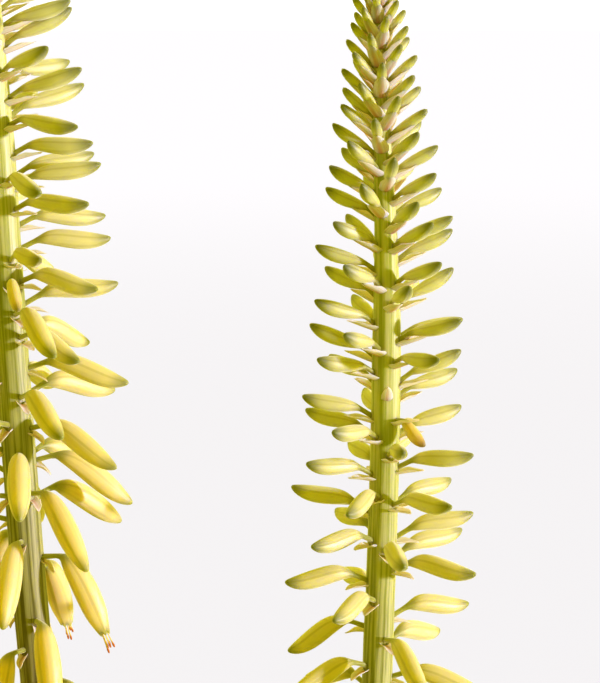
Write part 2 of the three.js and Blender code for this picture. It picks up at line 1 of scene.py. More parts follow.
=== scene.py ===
# A potted aloe vera in flower, dressed around its solids. Lengths in the tables are millimetres,
# angles are degrees, azimuth 0 points along -Y, the side that is looked at, and 90 along +X.
import math

import bmesh
import bpy
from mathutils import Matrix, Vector, noise


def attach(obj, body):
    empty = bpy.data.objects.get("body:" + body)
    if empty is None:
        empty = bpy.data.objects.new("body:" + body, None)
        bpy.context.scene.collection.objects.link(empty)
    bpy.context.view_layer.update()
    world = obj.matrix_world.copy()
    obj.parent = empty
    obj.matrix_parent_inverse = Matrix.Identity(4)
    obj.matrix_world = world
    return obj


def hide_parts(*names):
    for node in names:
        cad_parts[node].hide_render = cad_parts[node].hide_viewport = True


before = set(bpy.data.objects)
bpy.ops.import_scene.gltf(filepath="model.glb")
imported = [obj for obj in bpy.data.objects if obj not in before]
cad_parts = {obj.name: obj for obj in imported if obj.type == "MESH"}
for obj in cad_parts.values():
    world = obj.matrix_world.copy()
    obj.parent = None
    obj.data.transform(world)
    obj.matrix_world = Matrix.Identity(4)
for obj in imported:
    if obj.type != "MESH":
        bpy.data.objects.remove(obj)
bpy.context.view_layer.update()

MM = 0.001
UP = Vector((0, 0, 1))
GOLDEN_ANGLE = 137.5

# Camera
CAMERA_PLACE = (27, -550, 695)
CAMERA_PITCH = 80
CAMERA_LENS = 102.1
CAMERA_FRAME = 36

# Light: a low key from the right, a deep gold reflector in front, a brighter and paler one behind,
# and a floor that glows and is measured in metres. The camera sees the room plain white
KEY_AZIMUTH = 70
KEY_ELEVATION = 4
KEY_STRENGTH = 3.35
KEY_ANGLE = 3
KEY_COLOUR = "#fff0ff"
ROOM_FRONT = (0.56, 0.5, 0.012)
ROOM_BACK = (1.0, 0.94, 0.14)
ROOM_SEEN = (1.05, 1.05, 1.05)
FLOOR_RADIUS = 45
FLOOR_NEAR = 2.4
FLOOR_FAR = 7.4
FLOOR_COLUMNS = 96

# Pot
POT_HEIGHT = 160
POT_WALL = 6
POT_FLOOR = 8
POT_BASE_RADIUS = 66
POT_EDGE = 2
RIM_RADIUS = 100
RIM_HEIGHT = 27
RIM_STEP = 5
RIM_FLARE = 3
RIM_THICKNESS = 9
RIM_FOOT = POT_HEIGHT - RIM_HEIGHT
RIM_INNER_RADIUS = RIM_RADIUS - RIM_THICKNESS
NECK_RADIUS = RIM_RADIUS - RIM_STEP - RIM_FLARE
NECK_INNER_RADIUS = NECK_RADIUS - POT_WALL
BASE_INNER_RADIUS = POT_BASE_RADIUS - POT_WALL
POT_ROUNDING = 1.2
POT_ROUNDING_SHARE = 0.4
POT_COLUMNS = 96
DRAIN_RADIUS = 6
DRAIN_RING = 32
DRAIN_COUNT = 3
DRAIN_COLUMNS = 32

# Soil, which fills the pot, and the grains of perlite, grit and bark on it
SOIL_EDGE_TOP = 141
SOIL_MIDDLE_TOP = 146
SOIL_PRESSED = 1.2
SOIL_CLEARANCE = 0.5
SOIL_FOOT = {"radius": BASE_INNER_RADIUS - 1, "edge": 1, "height": 3}
SOIL_COLUMNS = 110
SOIL_RINGS = 26
CRUMB_SIZE = 4
CRUMB_HEIGHT = 1.1
CRUMB_OCTAVES = 4
GRAIN_COUNT = 420
GRAIN_SEED = 5
GRAIN_RADIUS = {"least": 1.1, "spread": 0.8, "largest": 1.2}
GRAIN_MARGINS = (4, 3)
GRAIN_LIFT = 0.4
GRAIN_LUMP_SIZE = 1.5
GRAIN_LUMPINESS = 0.35
GRAIN_FLATNESS = 0.7
GRAIN_TONES = (0.3, 1)

# Crown
CROWN_RADIUS = 24
CROWN_FOOT = 112
CROWN_SHOULDER = 151
CROWN_EDGE_WIDTH = 4
CROWN_EDGE_HEIGHT = 6
CROWN_STEP = 4
CROWN_DOME_STEP = 15
CROWN_COLUMNS = 48

# Leaves
LEAF_COUNT = 14
LEAF_SEED = 3
LEAF_FIRST_AZIMUTH = 39
LEAF_ROOT_DEPTH = 7
LEAF_ROOT_SHARE = 0.16
LEAF_ROOT_NARROWING = 0.25
LEAF_OUTER_RISE = 34
LEAF_INNER_RISE = 86
LEAF_RISE_POWER = 1.1
LEAF_SEAT_LIFT = 78
LEAF_STRAY_ANGLE = 3
LEAF_STRAY_LENGTH = 0.05
LEAF_LEANS = {11: -15, 12: -15}
LEAF_SIZES = [
    {"at": 0, "length": 280, "width": 60, "thickness": 14, "bend": -16},
    {"at": 0.35, "length": 325, "width": 64, "thickness": 16, "bend": -12},
    {"at": 0.7, "length": 275, "width": 50, "thickness": 14, "bend": -4},
    {"at": 0.85, "length": 215, "width": 38, "thickness": 11, "bend": 3},
    {"at": 1, "length": 120, "width": 22, "thickness": 8, "bend": 2},
]
LEAF_COLUMNS = 20
LEAF_ROWS = 30
LEAF_ROW_POWER = 0.9
LEAF_LAST_SHARE = 0.9999

# Form of a leaf. The powers shape its outline and thickness along its length. The channel is a
# share of half the width, and the upper face and the belly are placed by the thickness
LEAF_FORM = {
    "outline_power": 1.6,
    "point_power": 0.95,
    "thinning": 0.8,
    "thinning_power": 1.5,
    "tip_power": 8,
    "channel": 0.16,
    "root_channel": 0.3,
    "channel_power": 1.7,
    "upper": 0.3,
    "belly": 0.7,
}

# Teeth: where they stand along a leaf, and shares of their height and width
TOOTH_SPACING = 9
TOOTH_HEIGHT = 2.8
TOOTH_WIDTH = 3.4
TOOTH_FIRST = 0.1
TOOTHED_SHARE = 0.86
TOOTH_STRAY = 0.25
TOOTH_SEED = 7
TOOTH_FORM = {
    "sunk": 0.25,
    "hook": 0.9,
    "thickness": 0.28,
    "point_power": 1.3,
    "shortening": 0.4,
    "narrowing": 0.35,
}
TOOTH_COLUMNS = 5
TOOTH_ROWS = 3

# Flower stalks: the axis as height, x and y, and the flowers that stand off the rule by a rise
# along the stalk, a turn about it and a lift of the bud
STALKS = [
    {
        "name": "flower_stalk_right",
        "seed": 1,
        "apex": 712,
        "radius": 4.2,
        "turn": -GOLDEN_ANGLE,
        "first_height": 509.1,
        "first_azimuth": 30,
        "ageing": 1,
        "vigour": 1,
        "spacing_slope": 0.0125,
        "lower_spacing": 4.2,
        "flowering": 262,
        "axis": [
            (156, 12.5, 2),
            (230, 22, 2),
            (340, 37, 1),
            (430, 46.5, 0),
            (520, 50.6, 0),
            (610, 51.9, 0),
            (667, 49.8, 0),
            (714, 47.8, 0),
        ],
        "nudges": {
            57: (0, 0, -5),
            56: (1.5, 0, -4),
            53: (-2, 0, -2),
            50: (2.3, 45, 0),
            49: (0, -30, 0),
            48: (-1, 0, -4),
            47: (-3, 0, 0),
            44: (-4.2, 0, 10),
            40: (-1.7, 0, 0),
            39: (-4.6, 0, -1),
            37: (-3, -17, -3),
            36: (2, -15, -10),
            35: (-1.5, 0, 3),
            34: (-0.8, 0, -12),
            32: (0, -10, -2),
            31: (-0.8, 0, 11),
            28: (1, -24, 2),
            27: (-2, 0, 0),
            26: (0, -5, -50),
            24: (-1, -8, 0),
            23: (1.5, 0, 4),
            22: (3.5, 0, 0),
            21: (1, -8, 0),
            18: (4.3, 0, 0),
            17: (5, -12, 0),
            16: (1.5, -14, -12),
            14: (1, 0, 10),
            13: (6.5, 0, 0),
            11: (1, -5, 0),
            10: (3.5, 5, 8),
            9: (6, -25, 0),
            8: (6, 0, 0),
            7: (4.3, -25, 8),
            6: (1.5, 0, 0),
            5: (8, 0, 0),
            3: (4, -5, 0),
            1: (0, 0, -25),
            0: (0, -5, -20),
            -1: (0, -25, 0),
        },
        "own": {
            26: {"length": 11, "width": 4.2, "foot": 2, "withered": 0.6},
            21: {"length": 11, "width": 4.8},
        },
        "dropped": {29: {"length": 6, "width": 4, "rise": 48, "end": 66}},
    },
    {
        "name": "flower_stalk_left",
        "seed": 2,
        "apex": 770,
        "radius": 4.6,
        "turn": GOLDEN_ANGLE,
        "first_height": 537.5,
        "first_azimuth": 75,
        "ageing": 1.2,
        "vigour": 1.13,
        "spacing_slope": 0.0115,
        "lower_spacing": 4.5,
        "flowering": 310,
        "axis": [
            (156, -12.5, -3),
            (230, -20, -6),
            (340, -33, -9),
            (430, -44, -11),
            (520, -50.6, -12),
            (600, -54.5, -12),
            (690, -58, -12),
            (772, -62, -12),
        ],
        "nudges": {
            68: (0, 22, -4),
            63: (2.5, 0, 7),
            58: (2, 0, -8),
            55: (1.8, 0, 2),
            52: (0, 35, -18),
            50: (5.8, 10, 6),
            47: (1.5, 22, -7),
            45: (-1, -27, 0),
            44: (0, 25, -19),
            42: (2.5, 0, 2),
            39: (2.3, 22, -4),
            37: (2, -12, -6),
            36: (-5.3, 42, 0),
            34: (2.1, 28, -2),
            32: (1, 5, -16),
            31: (0, 47, -7),
            29: (-2.2, 0, 9),
            28: (6.9, 50, -18),
            26: (-3.6, -6, -8),
            24: (2, 8, -13),
            23: (10.8, 34, -14),
            16: (5, 15, 10),
            13: (3.8, 0, 0),
            10: (4, -2, 0),
            8: (7, 0, 0),
            5: (6, 0, 0),
            3: (9, 0, 12),
            2: (0, 5, 0),
            0: (0, 0, -10),
            -2: (2.5, 0, 0),
            -3: (-4.8, 0, 0),
            -5: (0, 72, 0),
        },
        "own": {
            28: {"length": 17, "width": 3.9, "withered": 0.4},
            36: {"width": 5, "withered": 0.15},
        },
        "dropped": {},
    },
]
STEM_FOOT = 154
STEM_TIP_RADIUS = 0.5
STEM_TAPER_LENGTH = 115
STEM_TAPER_POWER = 0.85
STEM_THICKENING = 0.003
STEM_COLUMNS = 36
STEM_STEP = 6
STEM_RIBS = 11
STEM_RIB_HEIGHT = 0.014
STEM_UNEVENNESS = 0.04
STEM_UNEVEN_LENGTH = 12
STEM_END = 0.01
FLOWER_TIP_SPACING = 0.55
FLOWER_MOST_SPACING = 2.6
FLOWER_TIP_MARGIN = 0.8
FLOWER_ROOT_DEPTH = 1.8
FLOWER_ROOT_SHARE = 0.7
FOOT_LIFT_SHARE = 0.4
BUD_STRAY_ANGLE = 2
BUD_STRAY_LENGTH = 0.04
VIGOUR_FADING = [(150, 1), (195, 0)]
OPEN_AGE = 276

# Flowers by age: angle of the bud's middle, half of its bend, its length and width, then the
# length and angle of its little stalk
BUD_AGES = [
    {"at": 0, "rise": 78, "curl": 8, "length": 3, "width": 1.5, "foot": 0.4, "foot_rise": 60},
    {"at": 15, "rise": 60, "curl": 12, "length": 7, "width": 2.4, "foot": 0.8, "foot_rise": 55},
    {"at": 40, "rise": 42, "curl": 14, "length": 10.5, "width": 3.2, "foot": 1.5, "foot_rise": 46},
    {"at": 75, "rise": 28, "curl": 14, "length": 13.8, "width": 4.2, "foot": 3, "foot_rise": 40},
    {"at": 105, "rise": 20, "curl": 13, "length": 15.8, "width": 4.7, "foot": 4, "foot_rise": 36},
    {"at": 145, "rise": 10, "curl": 10, "length": 17.5, "width": 5.3, "foot": 4.8, "foot_rise": 32},
    {"at": 170, "rise": 2, "curl": 8, "length": 19.5, "width": 5.6, "foot": 5.2, "foot_rise": 28},
    {"at": 195, "rise": -6, "curl": 5, "length": 22, "width": 6.1, "foot": 5.6, "foot_rise": 25},
    {"at": 215, "rise": -17, "curl": 2, "length": 24.5, "width": 6.5, "foot": 6, "foot_rise": 20},
    {"at": 245, "rise": -31, "curl": -3, "length": 26, "width": 7, "foot": 6.2, "foot_rise": 16},
    {"at": 270, "rise": -48, "curl": -5, "length": 27, "width": 7.2, "foot": 6.5, "foot_rise": 12},
    {"at": 290, "rise": -60, "curl": -6, "length": 28, "width": 7.6, "foot": 6.5, "foot_rise": 10},
    {"at": 320, "rise": -74, "curl": -6, "length": 28, "width": 7.2, "foot": 6.5, "foot_rise": 5},
]
OLDEST = 320

# Bracts by the age of the flower above them. Their rise is how steeply they leave the stem, and
# their end where they point; they are wrapped in a gutter whose radius is their wrap
BRACT_AGES = [
    {"at": 0, "length": 3, "width": 2.4, "rise": 70, "end": 80, "wrap": 1.2},
    {"at": 15, "length": 7.2, "width": 4.8, "rise": 49, "end": 70, "wrap": 2},
    {"at": 40, "length": 9.4, "width": 6, "rise": 31, "end": 54, "wrap": 2.4},
    {"at": 75, "length": 9.6, "width": 6, "rise": 24, "end": 35, "wrap": 2.3},
    {"at": 105, "length": 9, "width": 6.2, "rise": 20, "end": 26, "wrap": 2.5},
    {"at": 145, "length": 8.2, "width": 5.8, "rise": 18, "end": 14, "wrap": 2.6},
    {"at": 180, "length": 6.8, "width": 4.8, "rise": 12, "end": -8, "wrap": 2.2},
    {"at": 215, "length": 5.6, "width": 4.2, "rise": 0, "end": -36, "wrap": 1.7},
    {"at": 270, "length": 4.6, "width": 3.6, "rise": -8, "end": -64, "wrap": 1.4},
    {"at": 320, "length": 4.2, "width": 3.2, "rise": -20, "end": -80, "wrap": 1.3},
]
BRACT_OUTLINE = [(0, 0.9), (0.25, 1), (0.55, 0.9), (0.8, 0.62), (1, 0.1)]
BRACT_OPENING = 0.15
BRACT_DROP = 1.25
BRACT_ROOT_DEPTH = 0.8
BRACT_ROOT_SHARE = 0.5
BRACT_THICKNESS = 0.2
BRACT_RUFFLE = 0.36
RUFFLE_ALONG = 11
RUFFLE_ACROSS = 4
BRACT_COLUMNS = 6
BRACT_ROWS = 5
BARE_BRACT_COUNT = 5
BARE_BRACT_SPACING = 34
BARE_BRACT = {"at": 40, "length": 11, "width": 8, "rise": 58, "end": 76, "wrap": 3.6}

# Along a bud from its root to its tip: its radius as a share of half its width, when young and
# when full, and how far its middle is shifted to the upper side in the same measure. The shift is
# strongest just before the bud hangs
BUD_SHAPE = [
    {"at": 0, "young": 0.34, "full": 0.34, "hump": 0},
    {"at": 0.06, "young": 0.48, "full": 0.6, "hump": 0.2},
    {"at": 0.16, "young": 0.66, "full": 0.84, "hump": 0.4},
    {"at": 0.32, "young": 0.87, "full": 0.97, "hump": 0.4},
    {"at": 0.52, "young": 1, "full": 1, "hump": 0.22},
    {"at": 0.7, "young": 0.94, "full": 0.9, "hump": 0.08},
    {"at": 0.86, "young": 0.66, "full": 0.63, "hump": 0.06},
    {"at": 0.96, "young": 0.3, "full": 0.3, "hump": 0.16},
    {"at": 1, "young": 0, "full": 0, "hump": 0.26},
]
BUD_FULLNESS = [(120, 0), (190, 1)]
BUD_HUMPS = [(120, 0.3), (190, 1), (230, 1), (276, 0.45)]
FINE_BUD_AGE = 60
FOOT_SHAPE = [(-1, 0), (-0.98, 1), (-0.4, 0.8)]
FOOT_RADIUS = 0.95
FOOT_MOST_SHARE = 0.55
BUD_COLUMNS = 9
OPEN_COLUMNS = 12
BUD_RIDGE = 0.07
SMOOTHING_SHRINK = 1.03

# Open flowers: the reach of the mouth's parts as shares of half a bud's width, when it first parts
# and when it is fully open, and their places as shares of its length
MOUTH_NECK = (0.68, 0.76)
MOUTH_NOTCH = (0.55, 0.72)
MOUTH_INNER_PETAL = (0.34, 0.62)
MOUTH_OUTER_PETAL = (0.34, 1.02)
MOUTH_DEPTH = 0.1
MOUTH_SETBACK = 0.03
PETAL_NOTCH = 0.16
PETAL_WALL = 0.5

# The threads that hang out of an open flower
THREAD_COUNT = 5
THREAD_STRAY = 0.3
THREAD_ROOT = 0.75
THREAD_RING = {"root": 0.6, "tip": 1.1}
THREAD_REACH = 4.5
THREAD_REACH_RANGE = (0.65, 0.35)
THREAD_DRAW_STEP = 40
THREAD_RADIUS = 0.22
THREAD_SHAPE = [(0, 0.6), (0.8, 1), (0.84, 2), (0.96, 1.8), (1, 0)]
THREAD_PLACES = (0, 0.4, 0.8, 0.85, 0.94, 1)
THREAD_COLUMNS = 5


# Numbers

def draw(number, kind, seed):
    """A repeatable draw between -1 and 1 for a numbered piece."""
    wave = math.sin(number * 12.9898 + kind * 78.233 + seed * 37.719) * 43758.5453
    return (wave - math.floor(wave)) * 2 - 1


def mix(low, high, share):
    return low + (high - low) * share


def held(value, low=0, high=1):
    return max(low, min(high, value))


def between(rows, at):
    """Values of a table's rows at a place between them."""
    if at >= rows[-1]["at"]:
        return dict(rows[-1])
    following = max(1, next(k for k, row in enumerate(rows) if row["at"] > at))
    low = rows[following - 1]
    high = rows[following]
    share = held((at - low["at"]) / (high["at"] - low["at"]))
    return {key: mix(low[key], high[key], share) for key in low}


def along_profile(profile, at):
    """Height of a profile at a place, by straight steps between its points."""
    for (low, low_value), (high, high_value) in zip(profile, profile[1:]):
        if at <= high:
            return mix(low_value, high_value, held((at - low) / (high - low)))
    return profile[-1][1]


# Directions and bends

def outward(azimuth):
    return Vector((math.sin(math.radians(azimuth)), -math.cos(math.radians(azimuth)), 0))


def sideways(azimuth):
    return Vector((math.cos(math.radians(azimuth)), math.sin(math.radians(azimuth)), 0))


def along_bend(bend, share):
    """A point on an even bend, and the direction that is its upper side there."""
    out = outward(bend["azimuth"])
    first = math.radians(bend["rise"])
    turn = math.radians(bend["bend"])
    angle = first + turn * share
    if abs(turn) < 1e-6:
        level = math.cos(first) * share
        height = math.sin(first) * share
    else:
        level = (math.sin(angle) - math.sin(first)) / turn
        height = (math.cos(first) - math.cos(angle)) / turn
    place = bend["start"] + out * level * bend["length"] + UP * height * bend["length"]
    above = out * -math.sin(angle) + UP * math.cos(angle)
    return place, above


# Meshes

def new_mesh():
    """An empty mesh with a UV map and three values that the materials read."""
    bm = bmesh.new()
    bm.loops.layers.uv.new("UVMap")
    for layer in ("age", "tone", "place"):
        bm.verts.layers.float.new(layer)
    return bm


def sheet(bm, columns, places, shape, age=0.0, tone=0.0):
    """A grid with a row at each place, whose verts a shape puts, in millimetres, by their share
    across and their place."""
    rows = len(places) - 1
    grid = bmesh.ops.create_grid(bm, x_segments=columns, y_segments=rows, size=0.5, calc_uvs=True)
    layers = bm.verts.layers.float
    for vert in grid["verts"]:
        place = places[round((vert.co.y + 0.5) * rows)]
        vert[layers["age"]] = age
        vert[layers["tone"]] = tone
        vert[layers["place"]] = place
        vert.co = shape(vert.co.x + 0.5, place) * MM
    return grid["verts"]


def rolled(bm, columns, places, shape, age=0.0, tone=0.0):
    """A grid rolled into a tube: its long edges are welded, and so is an end that is a point."""
    verts = sheet(bm, columns, places, shape, age, tone)
    bmesh.ops.remove_doubles(bm, verts=verts, dist=1e-6)


def even_places(count):
    """Places from 0 to 1 with a number of steps between them."""
    return [k / count for k in range(count + 1)]


def piece(bm, name, material, node, smoothing=1):
    """Finishes a mesh as a piece that stands for a node."""
    bmesh.ops.recalc_face_normals(bm, faces=bm.faces)
    for face in bm.faces:
        face.smooth = True
    mesh = bpy.data.meshes.new(name)
    bm.to_mesh(mesh)
    bm.free()
    mesh.materials.append(material)
    thing = bpy.data.objects.new(name, mesh)
    bpy.context.scene.collection.objects.link(thing)
    if smoothing:
        modifier = thing.modifiers.new("smoothing", "SUBSURF")
        modifier.levels = smoothing
        modifier.render_levels = smoothing
    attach(thing, "root")
    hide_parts(node)
    return thing


# Materials

RGBA = {"data_type": "RGBA"}
SMOOTH = {"interpolation_type": "SMOOTHSTEP"}

# What the UV maps span in millimetres: the way round or across, and the length
BUD_SPAN = (22, 28)
BRACT_SPAN = (6, 9)
LEAF_SPAN = (120, 312)

# The stem's stripes lie on a ring of this radius and along this length
STEM_RING = 4.5
STEM_LENGTH = 560


def srgb(code):
    """An sRGB hex colour as linear red, green, blue and alpha."""
    channels = [int(code[k:k + 2], 16) / 255 for k in (1, 3, 5)]
    linear = [c / 12.92 if c <= 0.04045 else ((c + 0.055) / 1.055) ** 2.4 for c in channels]
    return (*linear, 1)


def per_metre(size):
    """Scale of a pattern on Object coordinates whose features are a size in millimetres."""
    return 1 / (size * MM)


def on_map(span, width, length):
    """Scale of a pattern on a UV map whose features have a width and length in millimetres."""
    return span[0] / width, span[1] / length, 1


def add_node(tree, kind, settings=None, values=None, links=None, stops=None, out=0):
    """Adds a node with its settings, the values of its sockets, its links and its colour stops,
    and gives one of its outputs."""
    node = tree.nodes.new("ShaderNode" + kind)
    for name, value in (settings or {}).items():
        setattr(node, name, value)
    for socket, value in (values or {}).items():
        node.inputs[socket].default_value = value
    for socket, output in (links or {}).items():
        tree.links.new(output, node.inputs[socket])
    for k, (place, code) in enumerate(stops or []):
        element = node.color_ramp.elements[k] if k < 2 else node.color_ramp.elements.new(place)
        element.position = place
        element.color = srgb(code)
    return node.outputs[out]


def new_material(name, values):
    """A material with a shader whose constant values are set on its own sockets."""
    material = bpy.data.materials.new(name)
    material.use_nodes = True
    tree = material.node_tree
    shader = tree.nodes["Principled BSDF"]
    for socket, value in values.items():
        shader.inputs[socket].default_value = value
    return material, tree, shader


def mesh_values(tree, *names):
    """The values of a mesh that a material reads, by their names, and then its UV map."""
    values = [add_node(tree, "Attribute", {"attribute_name": name}, out="Fac") for name in names]
    return *values, add_node(tree, "UVMap", {"uv_map": "UVMap"})


def waxy_petal():
    """Aloe petals: thin juicy tissue, smooth under a bloom of pale wax. Light that passes through
    comes out a deep gold, and the lit side is a pale cream. The tips are grey-green, withered
    petals are amber, a faint green rib runs along the middle of each petal with a fold where two
    meet, and streaks about 1 mm wide run lengthwise."""
    material, tree, shader = new_material("waxy_petal", {
        "Roughness": 0.48,
        "IOR": 1.45,
        "Specular IOR Level": 0.9,
        "Sheen Weight": 0.65,
        "Sheen Roughness": 0.5,
        "Subsurface Weight": 1.0,
        "Subsurface Radius": (1.0, 0.92, 0.06),
        "Subsurface Scale": 5 * MM,
    })
    age, tone, place, uv = mesh_values(tree, "age", "tone", "place")
    body = add_node(tree, "ValToRGB", links={0: age}, stops=[
        (0, "#bcc292"), (0.25, "#c6ca9e"), (0.5, "#d4d2a8"), (0.75, "#e0d4a2"), (1, "#e9d6a0"),
    ])
    tip = add_node(tree, "ValToRGB", links={0: age}, stops=[
        (0, "#48522c"), (0.35, "#505c32"), (0.7, "#68743a"), (0.86, "#868a44"), (1, "#b4ac58"),
    ])
    amber = add_node(tree, "ValToRGB", links={0: place}, stops=[
        (0, "#c4a244"), (0.4, "#dec466"), (0.85, "#b88c38"), (1, "#5f381c"),
    ])

    around = add_node(tree, "SeparateXYZ", links={0: uv}, out="X")
    turns = add_node(tree, "Math", {"operation": "MULTIPLY"}, {1: math.tau * 3}, {0: around})
    wave = add_node(tree, "Math", {"operation": "COSINE"}, links={0: turns})
    rib = add_node(tree, "MapRange", SMOOTH,
                   {"From Min": 0.86, "From Max": 1, "To Max": 0.16}, {"Value": wave})
    fold = add_node(tree, "MapRange", SMOOTH,
                    {"From Min": -0.86, "From Max": -1, "To Max": 0.36}, {"Value": wave})
    line = add_node(tree, "Math", {"operation": "ADD"}, links={0: rib, 1: fold})
    petal = add_node(tree, "Mix", RGBA, {"B": srgb("#a4a03a")}, {"Factor": line, "A": body}, out="Result")

    tip_start = add_node(tree, "MapRange", values={"To Min": 0.44, "To Max": 0.84}, links={"Value": age})
    at_tip = add_node(tree, "MapRange", SMOOTH, {"From Max": 1.05}, {"Value": place, "From Min": tip_start})
    petal = add_node(tree, "Mix", RGBA, links={"Factor": at_tip, "A": petal, "B": tip}, out="Result")

    at_foot = add_node(tree, "MapRange", SMOOTH, {"From Min": 0.16, "From Max": -0.04}, {"Value": place})
    petal = add_node(tree, "Mix", RGBA, {"B": srgb("#8c9234")}, {"Factor": at_foot, "A": petal},
                     out="Result")

    on_body = add_node(tree, "MapRange", SMOOTH, {"From Min": -0.05, "From Max": 0.3}, {"Value": place})
    dried = add_node(tree, "Math", {"operation": "MULTIPLY"}, links={0: tone, 1: on_body})
    petal = add_node(tree, "Mix", RGBA, links={"Factor": dried, "A": petal, "B": amber}, out="Result")

    stretch = add_node(tree, "Mapping", values={"Scale": on_map(BUD_SPAN, 1, 20)}, links={0: uv})
    streak = add_node(tree, "TexNoise", values={"Scale": 1, "Detail": 3}, links={0: stretch})
    lightness = add_node(tree, "MapRange", values={"To Min": 0.9, "To Max": 1.08}, links={"Value": streak})
    petal = add_node(tree, "HueSaturation", links={"Value": lightness, "Color": petal})
    tree.links.new(petal, shader.inputs["Base Color"])

    height = add_node(tree, "Math", {"operation": "SUBTRACT"}, links={0: streak, 1: fold})
    relief = add_node(tree, "Bump", values={"Strength": 0.3, "Distance": 0.4 * MM},
                      links={"Height": height})
    tree.links.new(relief, shader.inputs["Normal"])
    return material


def papery_bract():
    """Bract tissue: thin dry paper, grown in ruffles. It is cream with pink-brown veins about
    0.4 mm wide that run lengthwise and fade towards the tip. Light comes through, and gloss is
    slight."""
    material, tree, shader = new_material("papery_bract", {
        "Roughness": 0.7,
        "IOR": 1.45,
        "Specular IOR Level": 0.3,
        "Subsurface Weight": 0.8,
        "Subsurface Radius": (1.0, 0.7, 0.4),
        "Subsurface Scale": 2 * MM,
    })
    age, place, uv = mesh_values(tree, "age", "place")
    margin = add_node(tree, "ValToRGB", links={0: age}, stops=[
        (0, "#e4d6c8"), (0.2, "#f6e4ea"), (0.5, "#f8e6f2"), (0.72, "#f2d8de"), (1, "#ecccca"),
    ])
    vein = add_node(tree, "ValToRGB", links={0: age}, stops=[
        (0, "#b07448"), (0.2, "#c87454"), (0.5, "#d8907c"), (0.72, "#bc7866"), (1, "#a05e4c"),
    ])

    around = add_node(tree, "SeparateXYZ", links={0: uv}, out="X")
    off_middle = add_node(tree, "Math", {"operation": "SUBTRACT"}, {1: 0.5}, {0: around})
    off_middle = add_node(tree, "Math", {"operation": "ABSOLUTE"}, links={0: off_middle})
    in_middle = add_node(tree, "MapRange", SMOOTH,
                         {"From Min": 0.24, "From Max": 0.02, "To Max": 0.85}, {"Value": off_middle})
    stretch = add_node(tree, "Mapping", values={"Scale": on_map(BRACT_SPAN, 0.375, 10)}, links={0: uv})
    veins = add_node(tree, "TexNoise", values={"Scale": 1, "Detail": 2}, links={0: stretch})
    fine = add_node(tree, "MapRange",
                    values={"From Min": 0.48, "From Max": 0.68, "To Max": 0.6}, links={"Value": veins})
    share = add_node(tree, "Math", {"operation": "MAXIMUM"}, links={0: in_middle, 1: fine})
    fading = add_node(tree, "MapRange", values={"To Min": 1, "To Max": 0.35}, links={"Value": place})
    share = add_node(tree, "Math", {"operation": "MULTIPLY"}, links={0: share, 1: fading})
    paper = add_node(tree, "Mix", RGBA, links={"Factor": share, "A": margin, "B": vein}, out="Result")
    tree.links.new(paper, shader.inputs["Base Color"])

    relief = add_node(tree, "Bump", values={"Strength": 0.4, "Distance": 0.3 * MM}, links={"Height": veins})
    tree.links.new(relief, shader.inputs["Normal"])
    return material


def striped_stem():
    """Flower stalk rind: firm juicy tissue under a thin bloom of wax. It is striped lengthwise in
    pale and dark green, each stripe about 1 mm wide, and is duller with a brown-red flush low on
    the stalk."""
    material, tree, shader = new_material("striped_stem", {
        "Roughness": 0.45,
        "IOR": 1.45,
        "Specular IOR Level": 0.6,
        "Sheen Weight": 0.3,
        "Sheen Roughness": 0.5,
        "Subsurface Weight": 0.8,
        "Subsurface Radius": (0.9, 1.0, 0.1),
        "Subsurface Scale": 3 * MM,
    })
    age, uv = mesh_values(tree, "age")
    pale = add_node(tree, "ValToRGB", links={0: age}, stops=[
        (0, "#ccd088"), (0.4, "#ced09c"), (0.7, "#babc8a"), (1, "#a2a474"),
    ])
    dark = add_node(tree, "ValToRGB", links={0: age}, stops=[
        (0, "#b0c044"), (0.4, "#a8b250"), (0.7, "#848a40"), (1, "#565624"),
    ])

    around = add_node(tree, "SeparateXYZ", links={0: uv}, out="X")
    along = around.node.outputs["Y"]
    turn = add_node(tree, "Math", {"operation": "MULTIPLY"}, {1: math.tau}, {0: around})
    level = add_node(tree, "Math", {"operation": "COSINE"}, links={0: turn})
    across = add_node(tree, "Math", {"operation": "SINE"}, links={0: turn})
    ring = add_node(tree, "CombineXYZ", links={0: level, 1: across, 2: along})
    round_scale = STEM_RING / 0.9
    stretch = add_node(tree, "Mapping", values={"Scale": (round_scale, round_scale, STEM_LENGTH / 40)},
                       links={0: ring})
    stripe = add_node(tree, "TexNoise", values={"Scale": 1, "Detail": 3, "Roughness": 0.6},
                      links={0: stretch})
    share = add_node(tree, "MapRange", SMOOTH, {"From Min": 0.36, "From Max": 0.6}, {"Value": stripe})
    rind = add_node(tree, "Mix", RGBA, links={"Factor": share, "A": dark, "B": pale}, out="Result")

    flush = add_node(tree, "MapRange",
                     values={"From Min": 0.72, "From Max": 1, "To Max": 0.25}, links={"Value": age})
    rind = add_node(tree, "Mix", RGBA, {"B": srgb("#704a28")}, {"Factor": flush, "A": rind}, out="Result")
    tree.links.new(rind, shader.inputs["Base Color"])

    relief = add_node(tree, "Bump", values={"Strength": 0.35, "Distance": 0.3 * MM},
                      links={"Height": stripe})
    tree.links.new(relief, shader.inputs["Normal"])
    return material


